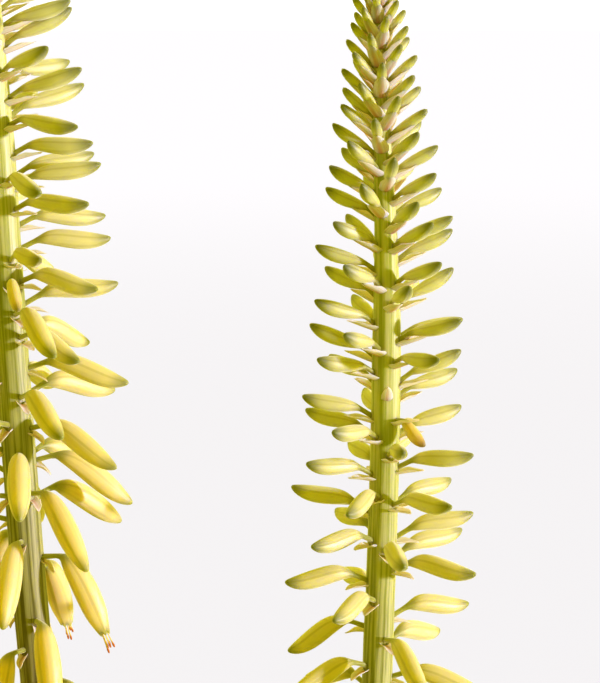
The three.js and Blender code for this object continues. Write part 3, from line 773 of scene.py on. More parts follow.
def stamen_thread():
    """Stamens: fine dry threads, pale yellow and matt, that end in mealy orange-brown pollen sacs
    with grains of 0.4 mm, drawn coarser than real ones so that they show."""
    material, tree, shader = new_material("stamen_thread", {
        "Roughness": 0.7,
        "IOR": 1.45,
        "Subsurface Weight": 0.2,
        "Subsurface Radius": (1.0, 0.6, 0.2),
        "Subsurface Scale": 0.5 * MM,
    })
    place = add_node(tree, "Attribute", {"attribute_name": "place"}, out="Fac")
    at = add_node(tree, "TexCoord", out="Object")
    meal = add_node(tree, "TexNoise", values={"Scale": per_metre(0.4)}, links={0: at})
    thread = add_node(tree, "ValToRGB", links={0: meal}, stops=[(0.3, "#e6cf6a"), (0.8, "#f3e3a0")])
    pollen = add_node(tree, "ValToRGB", links={0: meal}, stops=[(0.3, "#a5551c"), (0.8, "#d98f3e")])
    sac = add_node(tree, "MapRange", values={"From Min": 0.79, "From Max": 0.84}, links={"Value": place})
    colour = add_node(tree, "Mix", RGBA, links={"Factor": sac, "A": thread, "B": pollen}, out="Result")
    tree.links.new(colour, shader.inputs["Base Color"])
    return material


def waxy_leaf():
    """Aloe leaf skin: thick tough skin under a dull bloom of wax, grey-green and clouded, with pale
    flecks about 4 mm wide stretched along the leaf, a pale horny margin and a brown tip."""
    material, tree, shader = new_material("waxy_leaf", {
        "Roughness": 0.48,
        "IOR": 1.45,
        "Specular IOR Level": 0.55,
        "Subsurface Weight": 0.12,
        "Subsurface Radius": (0.6, 1.0, 0.4),
        "Subsurface Scale": 4 * MM,
        "Sheen Weight": 0.12,
    })
    age, horn, uv = mesh_values(tree, "age", "tone")
    along = add_node(tree, "SeparateXYZ", links={0: uv}, out="Y")
    place = add_node(tree, "TexCoord", out="Object")
    cloud = add_node(tree, "TexNoise", values={"Scale": per_metre(36), "Detail": 4}, links={0: place})
    old = add_node(tree, "ValToRGB", links={0: cloud}, stops=[(0.3, "#5f7d4c"), (0.7, "#88a06c")])
    young = add_node(tree, "ValToRGB", links={0: cloud}, stops=[(0.3, "#7d9c57"), (0.7, "#9db873")])
    skin = add_node(tree, "Mix", RGBA, links={"Factor": age, "A": old, "B": young}, out="Result")

    stretch = add_node(tree, "Mapping", values={"Scale": on_map(LEAF_SPAN, 4, 12)}, links={0: uv})
    flecks = add_node(tree, "TexVoronoi", {"feature": "F1"}, {"Scale": 1}, {0: stretch})
    fleck = add_node(tree, "MapRange", SMOOTH, {"From Min": 0.22, "From Max": 0.1}, {"Value": flecks})
    sparse = add_node(tree, "TexNoise", values={"Scale": per_metre(22)}, links={0: place})
    showing = add_node(tree, "MapRange", SMOOTH,
                       {"From Min": 0.5, "From Max": 0.62, "To Max": 0.7}, {"Value": sparse})
    fleck = add_node(tree, "Math", {"operation": "MULTIPLY"}, links={0: fleck, 1: showing})

    at_tip = add_node(tree, "MapRange", SMOOTH,
                      {"From Min": 0.93, "From Max": 1, "To Max": 0.8}, {"Value": along})
    for code, share in (("#c9d6b4", fleck), ("#9a6b4a", at_tip), ("#e3dcb0", horn)):
        skin = add_node(tree, "Mix", RGBA, {"B": srgb(code)}, {"Factor": share, "A": skin}, out="Result")
    tree.links.new(skin, shader.inputs["Base Color"])

    grain = add_node(tree, "TexNoise", values={"Scale": per_metre(1.1), "Detail": 2}, links={0: place})
    relief = add_node(tree, "Bump", values={"Strength": 0.12, "Distance": 0.4 * MM},
                      links={"Height": grain})
    tree.links.new(relief, shader.inputs["Normal"])
    return material


def fired_clay():
    """Terracotta: unglazed fired earthenware, thrown on a wheel. Matt orange-brown with sandy grain
    of about 1 mm, faint turning lines 2.4 mm apart and a chalky bloom of salts in patches."""
    material, tree, shader = new_material("fired_clay", {
        "Roughness": 0.88,
        "IOR": 1.5,
        "Specular IOR Level": 0.25,
    })
    place = add_node(tree, "TexCoord", out="Object")
    cloud = add_node(tree, "TexNoise", values={"Scale": per_metre(71), "Detail": 6}, links={0: place})
    clay = add_node(tree, "ValToRGB", links={0: cloud}, stops=[(0.3, "#a85c3a"), (0.72, "#c07550")])
    salts = add_node(tree, "TexNoise", values={"Scale": per_metre(45), "Detail": 8, "Roughness": 0.7},
                     links={0: place})
    bloom = add_node(tree, "MapRange", SMOOTH,
                     {"From Min": 0.5, "From Max": 0.75, "To Max": 0.5}, {"Value": salts})
    clay = add_node(tree, "Mix", RGBA, {"B": srgb("#dcc4b0")}, {"Factor": bloom, "A": clay}, out="Result")
    grain = add_node(tree, "TexNoise", values={"Scale": per_metre(0.9), "Detail": 3}, links={0: place})
    lightness = add_node(tree, "MapRange", values={"To Min": 0.85, "To Max": 1.12}, links={"Value": grain})
    clay = add_node(tree, "HueSaturation", links={"Value": lightness, "Color": clay})
    tree.links.new(clay, shader.inputs["Base Color"])

    level = per_metre(333)
    rings = add_node(tree, "Mapping", values={"Scale": (level, level, per_metre(2.4))}, links={0: place})
    lines = add_node(tree, "TexNoise", values={"Scale": 1, "Detail": 2}, links={0: rings})
    fine = add_node(tree, "Bump", values={"Strength": 0.35, "Distance": 0.3 * MM}, links={"Height": grain})
    relief = add_node(tree, "Bump", values={"Strength": 0.3, "Distance": 0.4 * MM},
                      links={"Height": lines, "Normal": fine})
    tree.links.new(relief, shader.inputs["Normal"])
    return material


def gritty_soil():
    """Potting mix: dark moist compost with bark crumbs of about 3 mm. The tone value marks the
    white perlite and grey grit that lie in it."""
    material, tree, shader = new_material("gritty_soil", {
        "Roughness": 0.95,
        "IOR": 1.4,
        "Specular IOR Level": 0.3,
    })
    tone = add_node(tree, "Attribute", {"attribute_name": "tone"}, out="Fac")
    place = add_node(tree, "TexCoord", out="Object")
    crumbs = add_node(tree, "TexVoronoi", {"feature": "F1"}, {"Scale": per_metre(3.1)}, {0: place},
                      out="Color")
    compost = add_node(tree, "ValToRGB", links={0: crumbs}, stops=[(0.1, "#221810"), (0.9, "#5a4330")])
    grit = add_node(tree, "ValToRGB", links={0: tone}, stops=[
        (0.3, "#6b5038"), (0.6, "#9a948a"), (0.9, "#e4e0d6"),
    ])
    is_grit = add_node(tree, "Math", {"operation": "GREATER_THAN"}, {1: 0.05}, {0: tone})
    colour = add_node(tree, "Mix", RGBA, links={"Factor": is_grit, "A": compost, "B": grit}, out="Result")
    tree.links.new(colour, shader.inputs["Base Color"])

    depth = crumbs.node.outputs["Distance"]
    relief = add_node(tree, "Bump", values={"Strength": 0.8, "Distance": 1.5 * MM}, links={"Height": depth})
    tree.links.new(relief, shader.inputs["Normal"])
    return material


def crown_rind():
    """Crown: pale fleshy stem, ringed about every 4 mm by the dry brown scars of old leaves."""
    material, tree, shader = new_material("crown_rind", {
        "Roughness": 0.8,
        "IOR": 1.45,
        "Specular IOR Level": 0.3,
    })
    place = add_node(tree, "TexCoord", out="Object")
    level = per_metre(33)
    rings = add_node(tree, "Mapping", values={"Scale": (level, level, per_metre(3.8))}, links={0: place})
    scars = add_node(tree, "TexNoise", values={"Scale": 1, "Detail": 3}, links={0: rings})
    colour = add_node(tree, "ValToRGB", links={0: scars}, stops=[(0.35, "#6e5535"), (0.7, "#a9a26a")])
    tree.links.new(colour, shader.inputs["Base Color"])
    relief = add_node(tree, "Bump", values={"Strength": 0.6, "Distance": 1 * MM}, links={"Height": scars})
    tree.links.new(relief, shader.inputs["Normal"])
    return material


def studio_floor():
    """A sheet of white acrylic that is lit from below: matt, a touch grey near the plant and white
    far away. It takes soft shadows, and is a little blue against the gold reflector."""
    material, tree, shader = new_material("studio_floor", {
        "Base Color": srgb("#86869f"),
        "Roughness": 1.0,
        "Specular IOR Level": 0.0,
        "Emission Strength": 1.0,
    })
    place = add_node(tree, "TexCoord", out="Object")
    distance = add_node(tree, "VectorMath", {"operation": "LENGTH"}, links={0: place}, out="Value")
    far = add_node(tree, "MapRange", SMOOTH,
                   {"From Min": FLOOR_NEAR, "From Max": FLOOR_FAR}, {"Value": distance})
    glow = add_node(tree, "ValToRGB", links={0: far}, stops=[(0, "#cbcbdd"), (1, "#d5d5e7")])
    tree.links.new(glow, shader.inputs["Emission Color"])
    return material


# Pot, soil and crown

def turned(bm, outline, columns):
    """An outline of radius and height, turned about the pot's axis with its ends on the axis."""

    def shape(across, corner):
        radius, height = outline[corner]
        return outward(360 * across) * radius + UP * height

    rolled(bm, columns, range(len(outline)), shape)


def rounded(outline, reach):
    """An outline whose corners are cut back by a reach, so that smoothing rounds them evenly."""
    points = [outline[0]]
    for before, corner, after in zip(outline, outline[1:], outline[2:]):
        for near in (before, after):
            step = Vector(near) - Vector(corner)
            points.append(tuple(Vector(corner) + step * min(POT_ROUNDING_SHARE, reach / step.length)))
    points.append(outline[-1])
    return points


def make_pot(clay):
    """A tapered pot with a thick rim band and drainage holes."""
    outline = [
        (0, 0),
        (POT_BASE_RADIUS - POT_EDGE, 0),
        (POT_BASE_RADIUS, POT_EDGE),
        (NECK_RADIUS, RIM_FOOT),
        (NECK_RADIUS + RIM_STEP, RIM_FOOT),
        (RIM_RADIUS, POT_HEIGHT - POT_EDGE),
        (RIM_RADIUS - POT_EDGE, POT_HEIGHT),
        (RIM_INNER_RADIUS + POT_EDGE, POT_HEIGHT),
        (RIM_INNER_RADIUS, POT_HEIGHT - POT_EDGE),
        (NECK_INNER_RADIUS, RIM_FOOT),
        (BASE_INNER_RADIUS, POT_FLOOR + POT_EDGE),
        (BASE_INNER_RADIUS - POT_EDGE, POT_FLOOR),
        (0, POT_FLOOR),
    ]
    bm = new_mesh()
    turned(bm, rounded(outline, POT_ROUNDING), POT_COLUMNS)
    drill_drains(piece(bm, "clay_pot", clay, "pot", smoothing=0))


def drill_drains(thing):
    """Cuts the drainage holes through the pot's floor."""
    drills = bmesh.new()
    for hole in range(DRAIN_COUNT):
        made = bmesh.ops.create_cone(drills, cap_ends=True, segments=DRAIN_COLUMNS,
                                     radius1=DRAIN_RADIUS * MM, radius2=DRAIN_RADIUS * MM,
                                     depth=POT_FLOOR * 4 * MM)
        angle = math.tau * hole / DRAIN_COUNT
        place = Vector((math.cos(angle), math.sin(angle), 0)) * DRAIN_RING * MM
        bmesh.ops.translate(drills, verts=made["verts"], vec=place)
    mesh = bpy.data.meshes.new("drain_drills")
    drills.to_mesh(mesh)
    drills.free()
    cutter = bpy.data.objects.new("drain_drills", mesh)
    bpy.context.scene.collection.objects.link(cutter)
    cut = thing.modifiers.new("drains", "BOOLEAN")
    cut.object = cutter
    cut.solver = "EXACT"
    bpy.context.view_layer.update()
    drilled = bpy.data.meshes.new_from_object(thing.evaluated_get(bpy.context.evaluated_depsgraph_get()))
    thing.modifiers.remove(cut)
    thing.data = drilled
    bpy.data.objects.remove(cutter)


def soil_top(radius):
    """Height of the soil, which is highest round the crown."""
    share = held((radius - CROWN_RADIUS) / (NECK_INNER_RADIUS - CROWN_RADIUS))
    return mix(SOIL_MIDDLE_TOP, SOIL_EDGE_TOP, share)


def make_soil(potting_mix):
    """Filled soil with a crumbly top, and grains half sunk in it."""
    edge = NECK_INNER_RADIUS + SOIL_PRESSED
    foot = SOIL_FOOT["radius"]
    outline = [
        (0, POT_FLOOR + SOIL_CLEARANCE),
        (foot - SOIL_FOOT["edge"], POT_FLOOR + SOIL_CLEARANCE),
        (foot, POT_FLOOR + SOIL_FOOT["height"]),
        (NECK_INNER_RADIUS - SOIL_CLEARANCE, RIM_FOOT),
    ]
    for ring in range(SOIL_RINGS + 1):
        radius = edge * (1 - ring / SOIL_RINGS)
        outline.append((radius, soil_top(radius)))
    bm = new_mesh()
    turned(bm, outline, SOIL_COLUMNS)
    for vert in bm.verts:
        if vert.co.z > (RIM_FOOT + 1) * MM:
            crumb = noise.fractal(vert.co / (CRUMB_SIZE * MM), 1.0, 2.0, CRUMB_OCTAVES)
            vert.co.z += crumb * CRUMB_HEIGHT * MM
    for grain in range(GRAIN_COUNT):
        add_grain(bm, grain, edge)
    piece(bm, "potting_mix", potting_mix, "soil", smoothing=0)


def add_grain(bm, grain, edge):
    """A lumpy, flattened grain, whose tone is its kind."""
    inner_margin, outer_margin = GRAIN_MARGINS
    outwards = math.sqrt(0.5 + 0.5 * draw(grain, 1, GRAIN_SEED))
    radius = mix(CROWN_RADIUS + inner_margin, edge - outer_margin, outwards)
    spot = outward(180 * draw(grain, 2, GRAIN_SEED)) * radius + UP * (soil_top(radius) + GRAIN_LIFT)
    size = GRAIN_RADIUS["least"] + GRAIN_RADIUS["spread"] * abs(draw(grain, 3, GRAIN_SEED))
    size += GRAIN_RADIUS["largest"] * max(0, draw(grain, 6, GRAIN_SEED)) ** 3
    kind = 0.5 + 0.5 * draw(grain, 4, GRAIN_SEED)
    tone_layer = bm.verts.layers.float["tone"]
    for vert in bmesh.ops.create_icosphere(bm, subdivisions=1, radius=size * MM)["verts"]:
        lump = noise.noise(vert.co / (GRAIN_LUMP_SIZE * MM) + Vector((grain, 0, 0)))
        vert.co *= 1 + GRAIN_LUMPINESS * lump
        vert.co.z *= GRAIN_FLATNESS
        vert[tone_layer] = mix(*GRAIN_TONES, kind)
        vert.co += spot * MM


def make_crown(rind):
    """The short stem that the leaves and stalks grow from, with a domed top."""
    outline = [
        (0, CROWN_FOOT),
        (CROWN_RADIUS - CROWN_EDGE_WIDTH, CROWN_FOOT),
        (CROWN_RADIUS, CROWN_FOOT + CROWN_EDGE_HEIGHT),
    ]
    first_step = CROWN_FOOT + CROWN_EDGE_HEIGHT + CROWN_STEP
    outline += [(CROWN_RADIUS, height) for height in range(first_step, CROWN_SHOULDER, CROWN_STEP)]
    for angle in range(0, 91, CROWN_DOME_STEP):
        level = CROWN_RADIUS * math.cos(math.radians(angle)) if angle < 90 else 0
        outline.append((level, CROWN_SHOULDER + CROWN_RADIUS * math.sin(math.radians(angle))))
    bm = new_mesh()
    turned(bm, outline, CROWN_COLUMNS)
    piece(bm, "crown_stem", rind, "crown")


# Leaves

def leaf_plan(index):
    """Size, place and bend of a leaf, numbered from the outermost."""
    at = index / (LEAF_COUNT - 1)
    stray = LEAF_STRAY_ANGLE * draw(index, 1, LEAF_SEED)
    azimuth = LEAF_FIRST_AZIMUTH + GOLDEN_ANGLE * index + stray
    lift = math.radians(LEAF_SEAT_LIFT * at)
    seat = outward(azimuth) * math.cos(lift) + UP * math.sin(lift)
    plan = between(LEAF_SIZES, at)
    plan["azimuth"] = azimuth
    plan["length"] *= 1 + LEAF_STRAY_LENGTH * draw(index, 2, LEAF_SEED)
    plan["start"] = seat * (CROWN_RADIUS - LEAF_ROOT_DEPTH) + UP * CROWN_SHOULDER
    plan["rise"] = mix(LEAF_OUTER_RISE, LEAF_INNER_RISE, at ** LEAF_RISE_POWER) + LEAF_LEANS.get(index, 0)
    return plan


def leaf_section(leaf, share, around):
    """A point of a leaf's section, across and above its middle. It is channelled above and full
    below, and runs from the middle of the upper face over the left edge and the belly."""
    form = LEAF_FORM
    root = LEAF_ROOT_NARROWING * max(0, 1 - share / LEAF_ROOT_SHARE) ** 2
    half = leaf["width"] / 2 * (1 - share ** form["outline_power"]) ** form["point_power"] * (1 - root)
    thinned = 1 - form["thinning"] * share ** form["thinning_power"]
    thick = leaf["thickness"] * thinned * (1 - share ** form["tip_power"])
    channel = half * (form["channel"] + form["root_channel"] * (1 - share) ** 3)
    middle = form["upper"] * thick
    edge = middle + channel
    side = -1 if around < 0.5 else 1
    turn = min(around, 1 - around) * 4
    if turn <= 1:
        return side * half * turn, middle + channel * turn ** form["channel_power"]
    quarter = (turn - 1) * math.pi / 2
    return side * half * math.cos(quarter), edge - (edge + form["belly"] * thick) * math.sin(quarter)


def leaf_point(leaf, share, around):
    """A point of a leaf's skin. Its section is held just before the tip, where it would close."""
    place, above = along_bend(leaf, share)
    across, high = leaf_section(leaf, min(share, LEAF_LAST_SHARE), around)
    return place + sideways(leaf["azimuth"]) * across + above * high


def leaf_tooth(bm, leaf, share, side):
    """A small hooked tooth on the margin, which leans towards the tip of the leaf."""
    edge = 0.25 if side < 0 else 0.75
    root = leaf_point(leaf, share, edge)
    ahead = (leaf_point(leaf, share + 0.01, edge) - root).normalized()
    inner = leaf_point(leaf, share, 0)
    out = (root - inner).normalized()
    above = along_bend(leaf, share)[1]
    form = TOOTH_FORM
    height = TOOTH_HEIGHT * (1 - form["shortening"] * share)
    width = TOOTH_WIDTH * (1 - form["narrowing"] * share)
    first = len(bm.verts)

    def shape(across, along):
        spoke = ahead * math.cos(math.tau * across) * width / 2
        spoke += above * math.sin(math.tau * across) * width * form["thickness"]
        reach = height * mix(-form["sunk"], 1, along)
        hook = ahead * (form["hook"] * height * along ** 2)
        return root + out * reach + hook + spoke * (1 - along) ** form["point_power"]

    rolled(bm, TOOTH_COLUMNS, even_places(TOOTH_ROWS), shape)
    tone_layer = bm.verts.layers.float["tone"]
    bm.verts.ensure_lookup_table()
    for vert in bm.verts[first:]:
        vert[tone_layer] = held((vert.co / MM - root).dot(out) / height + form["sunk"])


def make_leaf(index, skin):
    """One leaf with the teeth along both its edges. Its first row closes its root to a point."""
    leaf = leaf_plan(index)
    bm = new_mesh()

    def shape(around, place):
        if place < 0:
            return along_bend(leaf, 0)[0]
        return leaf_point(leaf, place ** LEAF_ROW_POWER, around)

    places = [-0.001, *even_places(LEAF_ROWS)]
    rolled(bm, LEAF_COLUMNS, places, shape, age=index / (LEAF_COUNT - 1))
    for tooth in range(int(leaf["length"] * TOOTHED_SHARE / TOOTH_SPACING)):
        for side in (-1, 1):
            stray = TOOTH_STRAY * draw(tooth, side + 2, index + TOOTH_SEED)
            leaf_tooth(bm, leaf, TOOTH_FIRST + (tooth + stray) * TOOTH_SPACING / leaf["length"], side)
    name = f"leaf_{index + 1:02d}"
    piece(bm, f"{name}_skin", skin, name)


# Flower stalks

def stalk_axis(stalk, height):
    """The middle of a stalk at a height, on a smooth line through its axis points."""
    rows = stalk["axis"]
    last = len(rows) - 1
    found = next((k for k in range(last) if height < rows[k + 1][0]), last - 1)

    def slope(row, key):
        before = rows[max(0, row - 1)]
        after = rows[min(last, row + 1)]
        return (after[key] - before[key]) / (after[0] - before[0])

    span = rows[found + 1][0] - rows[found][0]
    share = (height - rows[found][0]) / span
    ease = share * share * (3 - 2 * share)
    place = []
    for key in (1, 2):
        swing = (1 - share) * slope(found, key) - share * slope(found + 1, key)
        value = mix(rows[found][key], rows[found + 1][key], ease) + span * share * (1 - share) * swing
        place.append(value)
    return Vector((place[0], place[1], height))


def stem_radius(stalk, height):
    below = max(0, stalk["apex"] - height)
    grown = (min(below, STEM_TAPER_LENGTH) / STEM_TAPER_LENGTH) ** STEM_TAPER_POWER
    thickening = STEM_THICKENING * max(0, below - STEM_TAPER_LENGTH)
    return STEM_TIP_RADIUS + (stalk["radius"] - STEM_TIP_RADIUS) * grown + thickening


def make_stem(stalk, rind):
    """The stalk itself, faintly ribbed lengthwise, from the crown to its point."""
    length = stalk["apex"] - STEM_FOOT
    steps = round(length / STEM_STEP)
    heights = [STEM_FOOT + length * share for share in even_places(steps)]
    bm = new_mesh()

    def shape(around, height):
        middle = stalk_axis(stalk, held(height, STEM_FOOT, stalk["apex"]))
        if not STEM_FOOT <= height <= stalk["apex"]:
            return middle
        rib = 1 + STEM_RIB_HEIGHT * math.cos(math.tau * STEM_RIBS * around)
        spot = Vector((math.cos(math.tau * around), height / STEM_UNEVEN_LENGTH, stalk["seed"]))
        uneven = 1 + STEM_UNEVENNESS * noise.noise(spot)
        return middle + sideways(360 * around) * stem_radius(stalk, height) * rib * uneven

    rolled(bm, STEM_COLUMNS, [STEM_FOOT - STEM_END, *heights, stalk["apex"] + STEM_END], shape)
    age_layer = bm.verts.layers.float["age"]
    for vert in bm.verts:
        vert[age_layer] = held((stalk["apex"] - vert.co.z / MM) * stalk["ageing"] / OLDEST)
    piece(bm, f"{stalk['name']}_stem", rind, stalk["name"])


def flower_heights(stalk):
    """Heights of the flowers, numbered up and down from the first one."""
    heights = {0: stalk["first_height"]}
    height = stalk["first_height"]
    number = 0
    while stalk["apex"] - height > FLOWER_TIP_MARGIN:
        spacing = FLOWER_TIP_SPACING + stalk["spacing_slope"] * (stalk["apex"] - height)
        height += min(FLOWER_MOST_SPACING, spacing)
        number += 1
        if stalk["apex"] - height > FLOWER_TIP_MARGIN:
            heights[number] = height
    height = stalk["first_height"]
    number = 0
    while stalk["apex"] - height < stalk["flowering"]:
        height -= stalk["lower_spacing"]
        number -= 1
        heights[number] = height
    return heights


def flower_plan(stalk, number, height):
    """What one flower is like: its age, its place on the stalk and the bends of its two lengths."""
    raised, turned_by, lift = stalk["nudges"].get(number, (0, 0, 0))
    plan = between(BUD_AGES, (stalk["apex"] - height) * stalk["ageing"])
    plan["withered"] = 0
    plan.update(stalk["own"].get(number, {}))
    plan["length"] *= 1 + BUD_STRAY_LENGTH * draw(number, 2, stalk["seed"])
    plan["length"] *= mix(1, stalk["vigour"], along_profile(VIGOUR_FADING, plan["at"]))
    plan["number"] = number
    plan["azimuth"] = stalk["first_azimuth"] + stalk["turn"] * number + turned_by
    plan["height"] = height + raised
    radius = stem_radius(stalk, plan["height"])
    out = outward(plan["azimuth"])
    surface = stalk_axis(stalk, plan["height"]) + out * radius
    plan["stalklet"] = {
        "start": surface - out * min(FLOWER_ROOT_DEPTH, radius * FLOWER_ROOT_SHARE),
        "azimuth": plan["azimuth"],
        "rise": plan["foot_rise"] + FOOT_LIFT_SHARE * lift,
        "bend": 0,
        "length": plan["foot"] + FLOWER_ROOT_DEPTH,
    }
    stray = BUD_STRAY_ANGLE * draw(number, 1, stalk["seed"])
    plan["body"] = {
        "start": along_bend(plan["stalklet"], 1)[0],
        "azimuth": plan["azimuth"],
        "rise": plan["rise"] + lift + stray - plan["curl"],
        "bend": 2 * plan["curl"],
        "length": plan["length"],
    }
    return plan


def flower_point(plan, place, across, swell, shift=0):
    """A point of a flower's skin: its place along, from -1 to 1, its share round from the upper
    side, its radius and how far the middle is shifted upwards."""
    bend = plan["stalklet"] if place < 0 else plan["body"]
    middle, above = along_bend(bend, place + 1 if place < 0 else place)
    angle = math.tau * across + math.pi / 2
    spoke = sideways(plan["azimuth"]) * math.cos(angle) + above * math.sin(angle)
    return middle + above * shift + spoke * swell


def bud_skin(plan, across, place):
    """A point of a closed bud's skin: three ridges, one of them on top, a shoulder above the
    joint and a blunt point."""
    half = plan["width"] / 2 * SMOOTHING_SHRINK
    if place < 0:
        swell = FOOT_RADIUS * along_profile(FOOT_SHAPE, place)
        return flower_point(plan, place, across, min(swell, half * FOOT_MOST_SHARE))
    form = between(BUD_SHAPE, place)
    swell = mix(form["young"], form["full"], along_profile(BUD_FULLNESS, plan["at"]))
    hump = form["hump"] * along_profile(BUD_HUMPS, plan["at"])
    ridge = 1 + BUD_RIDGE * math.cos(3 * math.tau * across)
    return flower_point(plan, place, across, half * swell * ridge, half * hump)


def add_bud(bm, plan):
    """A closed bud on its little stalk. The youngest have fewer rows."""
    rows = BUD_SHAPE if plan["at"] > FINE_BUD_AGE else BUD_SHAPE[::2]
    places = [place for place, _ in FOOT_SHAPE] + [row["at"] for row in rows]

    def shape(across, place):
        return bud_skin(plan, across, place)

    rolled(bm, BUD_COLUMNS, places, shape, age=plan["at"] / OLDEST, tone=plan["withered"])


def add_open_flower(bm, plan):
    """An open flower: the bud's body with a mouth of six petals that part, the three outer ones
    flared. Places above 1 are inside the mouth: the petals' inner side and the throat."""
    neck = 1 - PETAL_NOTCH
    inner_side = 1.1
    throat = 1.2
    places = [place for place, _ in FOOT_SHAPE]
    places += [row["at"] for row in BUD_SHAPE if row["at"] < neck - MOUTH_DEPTH]
    places += [neck, 1, inner_side, throat]
    gape = held((plan["at"] - OPEN_AGE) / (OLDEST - OPEN_AGE))
    half = plan["width"] / 2

    def shape(across, place):
        if place < neck:
            return bud_skin(plan, across, place)
        if place == throat:
            return flower_point(plan, neck - MOUTH_DEPTH, across, 0)
        if place == neck:
            return flower_point(plan, neck - MOUTH_SETBACK, across, half * mix(*MOUTH_NECK, gape))
        corner = round(across * OPEN_COLUMNS)
        wall = PETAL_WALL if place == inner_side else 0
        if corner % 2:
            return flower_point(plan, neck, across, half * mix(*MOUTH_NOTCH, gape) - wall)
        petal = MOUTH_INNER_PETAL if corner % 4 else MOUTH_OUTER_PETAL
        return flower_point(plan, 1, across, half * mix(*petal, gape) - wall)

    rolled(bm, OPEN_COLUMNS, places, shape, age=plan["at"] / OLDEST, tone=plan["withered"])


def add_threads(bm, plan, seed):
    """The threads that hang out of an open flower."""
    body = plan["body"]
    _, above = along_bend(body, 1)
    ahead = sideways(plan["azimuth"]).cross(above)
    least, spread = THREAD_REACH_RANGE
    for thread in range(THREAD_COUNT):
        angle = math.tau * (thread + THREAD_STRAY * draw(thread, plan["number"], seed)) / THREAD_COUNT
        spoke = sideways(plan["azimuth"]) * math.cos(angle) + above * math.sin(angle)
        reach = THREAD_REACH * (least + spread * draw(thread, plan["number"] + THREAD_DRAW_STEP, seed))
        root = along_bend(body, THREAD_ROOT)[0] + spoke * THREAD_RING["root"]
        tip = along_bend(body, 1)[0] + ahead * reach + spoke * THREAD_RING["tip"]
        add_thread(bm, root, tip, plan["at"] / OLDEST)


def add_thread(bm, root, tip, age):
    """A thread that ends in its pollen sac."""
    along = (tip - root).normalized()
    first = along.orthogonal().normalized()
    second = along.cross(first)

    def shape(across, place):
        thick = along_profile(THREAD_SHAPE, place)
        spoke = first * math.cos(math.tau * across) + second * math.sin(math.tau * across)
        return root.lerp(tip, place) + spoke * thick * THREAD_RADIUS

    rolled(bm, THREAD_COLUMNS, THREAD_PLACES, shape, age=age)


def add_bract(bm, stalk, size, azimuth, height):
    """A papery scale under a flower: a gutter that wraps the little stalk, with a ruffled edge."""
    out = outward(azimuth)
    radius = stem_radius(stalk, height)
    depth = min(BRACT_ROOT_DEPTH, radius * BRACT_ROOT_SHARE)
    bend = {
        "start": stalk_axis(stalk, height) + out * (radius - depth),
        "azimuth": azimuth,
        "rise": size["rise"],
        "bend": size["end"] - size["rise"],
        "length": size["length"] + depth,
    }

    def shape(across, along):
        side = 2 * across - 1
        reach = side * size["width"] / 2 * along_profile(BRACT_OUTLINE, along)
        wrap = size["wrap"] * (1 + BRACT_OPENING * along)
        middle, above = along_bend(bend, along)
        wave = math.sin(RUFFLE_ALONG * along + RUFFLE_ACROSS * side + azimuth)
        lift = wrap * (1 - math.cos(reach / wrap)) + BRACT_RUFFLE * side * side * wave
        return middle + sideways(azimuth) * wrap * math.sin(reach / wrap) + above * lift

    sheet(bm, BRACT_COLUMNS, even_places(BRACT_ROWS), shape, age=size["at"] / OLDEST)


def make_flowers(stalk, petal, paper, pollen):
    """The buds, open flowers and bracts of one spike."""
    plans = [flower_plan(stalk, number, height) for number, height in flower_heights(stalk).items()]
    buds = new_mesh()
    bracts = new_mesh()
    for plan in plans:
        size = between(BRACT_AGES, plan["at"])
        size.update(stalk["dropped"].get(plan["number"], {}))
        if plan["number"] not in stalk["dropped"] and plan["at"] < OPEN_AGE:
            add_bud(buds, plan)
        add_bract(bracts, stalk, size, plan["azimuth"], plan["height"] - BRACT_DROP)
    for number in range(1, BARE_BRACT_COUNT + 1):
        height = stalk["apex"] - stalk["flowering"] - BARE_BRACT_SPACING * number
        add_bract(bracts, stalk, BARE_BRACT, stalk["first_azimuth"] + stalk["turn"] * number, height)
    bmesh.ops.recalc_face_normals(bracts, faces=bracts.faces)
    bmesh.ops.solidify(bracts, geom=bracts.faces, thickness=BRACT_THICKNESS * MM)
    piece(buds, f"{stalk['name']}_buds", petal, stalk["name"])
    piece(bracts, f"{stalk['name']}_bracts", paper, stalk["name"])
    opened = [plan for plan in plans if plan["at"] >= OPEN_AGE]
    if opened:
        make_open_flowers(stalk, opened, petal, pollen)


def make_open_flowers(stalk, plans, petal, pollen):
    """The open flowers of one spike and the threads in them."""
    tubes = new_mesh()
    threads = new_mesh()
    for plan in plans:
        add_open_flower(tubes, plan)
        add_threads(threads, plan, stalk["seed"])
    piece(tubes, f"{stalk['name']}_open_flowers", petal, stalk["name"])
    piece(threads, f"{stalk['name']}_threads", pollen, stalk["name"])


# Studio

def make_floor(acrylic):
    """A round floor that reaches past everything in sight, and lights nothing."""
    bm = bmesh.new()
    bmesh.ops.create_circle(bm, cap_ends=True, segments=FLOOR_COLUMNS, radius=FLOOR_RADIUS)
    mesh = bpy.data.meshes.new("studio_floor")
    bm.to_mesh(mesh)
    bm.free()
    mesh.materials.append(acrylic)
    thing = bpy.data.objects.new("studio_floor", mesh)
    bpy.context.scene.collection.objects.link(thing)
    thing.visible_diffuse = False
    thing.visible_glossy = False


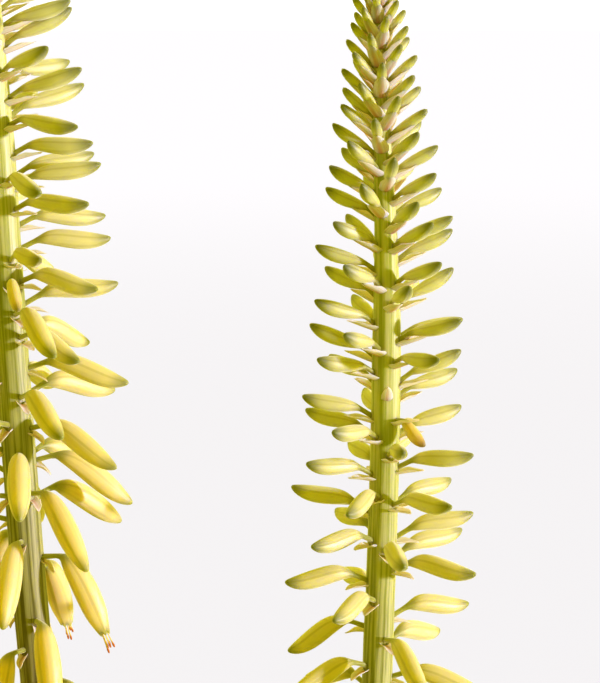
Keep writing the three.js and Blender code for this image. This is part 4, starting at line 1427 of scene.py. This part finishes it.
def make_room():
    """A room that lights the plant deep gold from the front, brighter and paler from behind, and
    that the camera sees white."""
    world = bpy.data.worlds.new("white_room")
    bpy.context.scene.world = world
    world.use_nodes = True
    tree = world.node_tree
    towards = add_node(tree, "TexCoord", out="Generated")
    depth = add_node(tree, "SeparateXYZ", links={0: towards}, out="Y")
    behind = add_node(tree, "MapRange", SMOOTH, {"From Min": -0.1, "From Max": 1}, {"Value": depth})
    glow = add_node(tree, "Mix", RGBA, {"A": (*ROOM_FRONT, 1), "B": (*ROOM_BACK, 1)}, {"Factor": behind},
                    out="Result")
    seen = add_node(tree, "LightPath", out="Is Camera Ray")
    glow = add_node(tree, "Mix", RGBA, {"B": (*ROOM_SEEN, 1)}, {"Factor": seen, "A": glow}, out="Result")
    tree.links.new(glow, tree.nodes["Background"].inputs["Color"])


def make_key_light():
    """A low, small and distant light from the right."""
    light = bpy.data.lights.new("key_light", "SUN")
    light.energy = KEY_STRENGTH
    light.angle = math.radians(KEY_ANGLE)
    light.color = srgb(KEY_COLOUR)[:3]
    lamp = bpy.data.objects.new("key_light", light)
    level = outward(KEY_AZIMUTH) * math.cos(math.radians(KEY_ELEVATION))
    towards = level + UP * math.sin(math.radians(KEY_ELEVATION))
    lamp.rotation_mode = "QUATERNION"
    lamp.rotation_quaternion = towards.to_track_quat("Z", "Y")
    bpy.context.scene.collection.objects.link(lamp)


def make_camera():
    lens = bpy.data.cameras.new("camera")
    lens.lens = CAMERA_LENS
    lens.sensor_width = CAMERA_FRAME
    lens.clip_start = 0.01
    lens.clip_end = 2 * FLOOR_RADIUS
    camera = bpy.data.objects.new("camera", lens)
    camera.location = Vector(CAMERA_PLACE) * MM
    camera.rotation_euler = (math.radians(CAMERA_PITCH), 0, 0)
    bpy.context.scene.collection.objects.link(camera)
    bpy.context.scene.camera = camera


make_camera()
make_floor(studio_floor())
make_room()
make_key_light()
bpy.context.scene.view_settings.view_transform = "Standard"
bpy.context.scene.view_settings.look = "Medium High Contrast"

make_pot(fired_clay())
make_soil(gritty_soil())
make_crown(crown_rind())
LEAF_SKIN = waxy_leaf()
for leaf_index in range(LEAF_COUNT):
    make_leaf(leaf_index, LEAF_SKIN)
STEM_RIND = striped_stem()
PETAL = waxy_petal()
BRACT_PAPER = papery_bract()
POLLEN = stamen_thread()
for flower_stalk in STALKS:
    make_stem(flower_stalk, STEM_RIND)
    make_flowers(flower_stalk, PETAL, BRACT_PAPER, POLLEN)
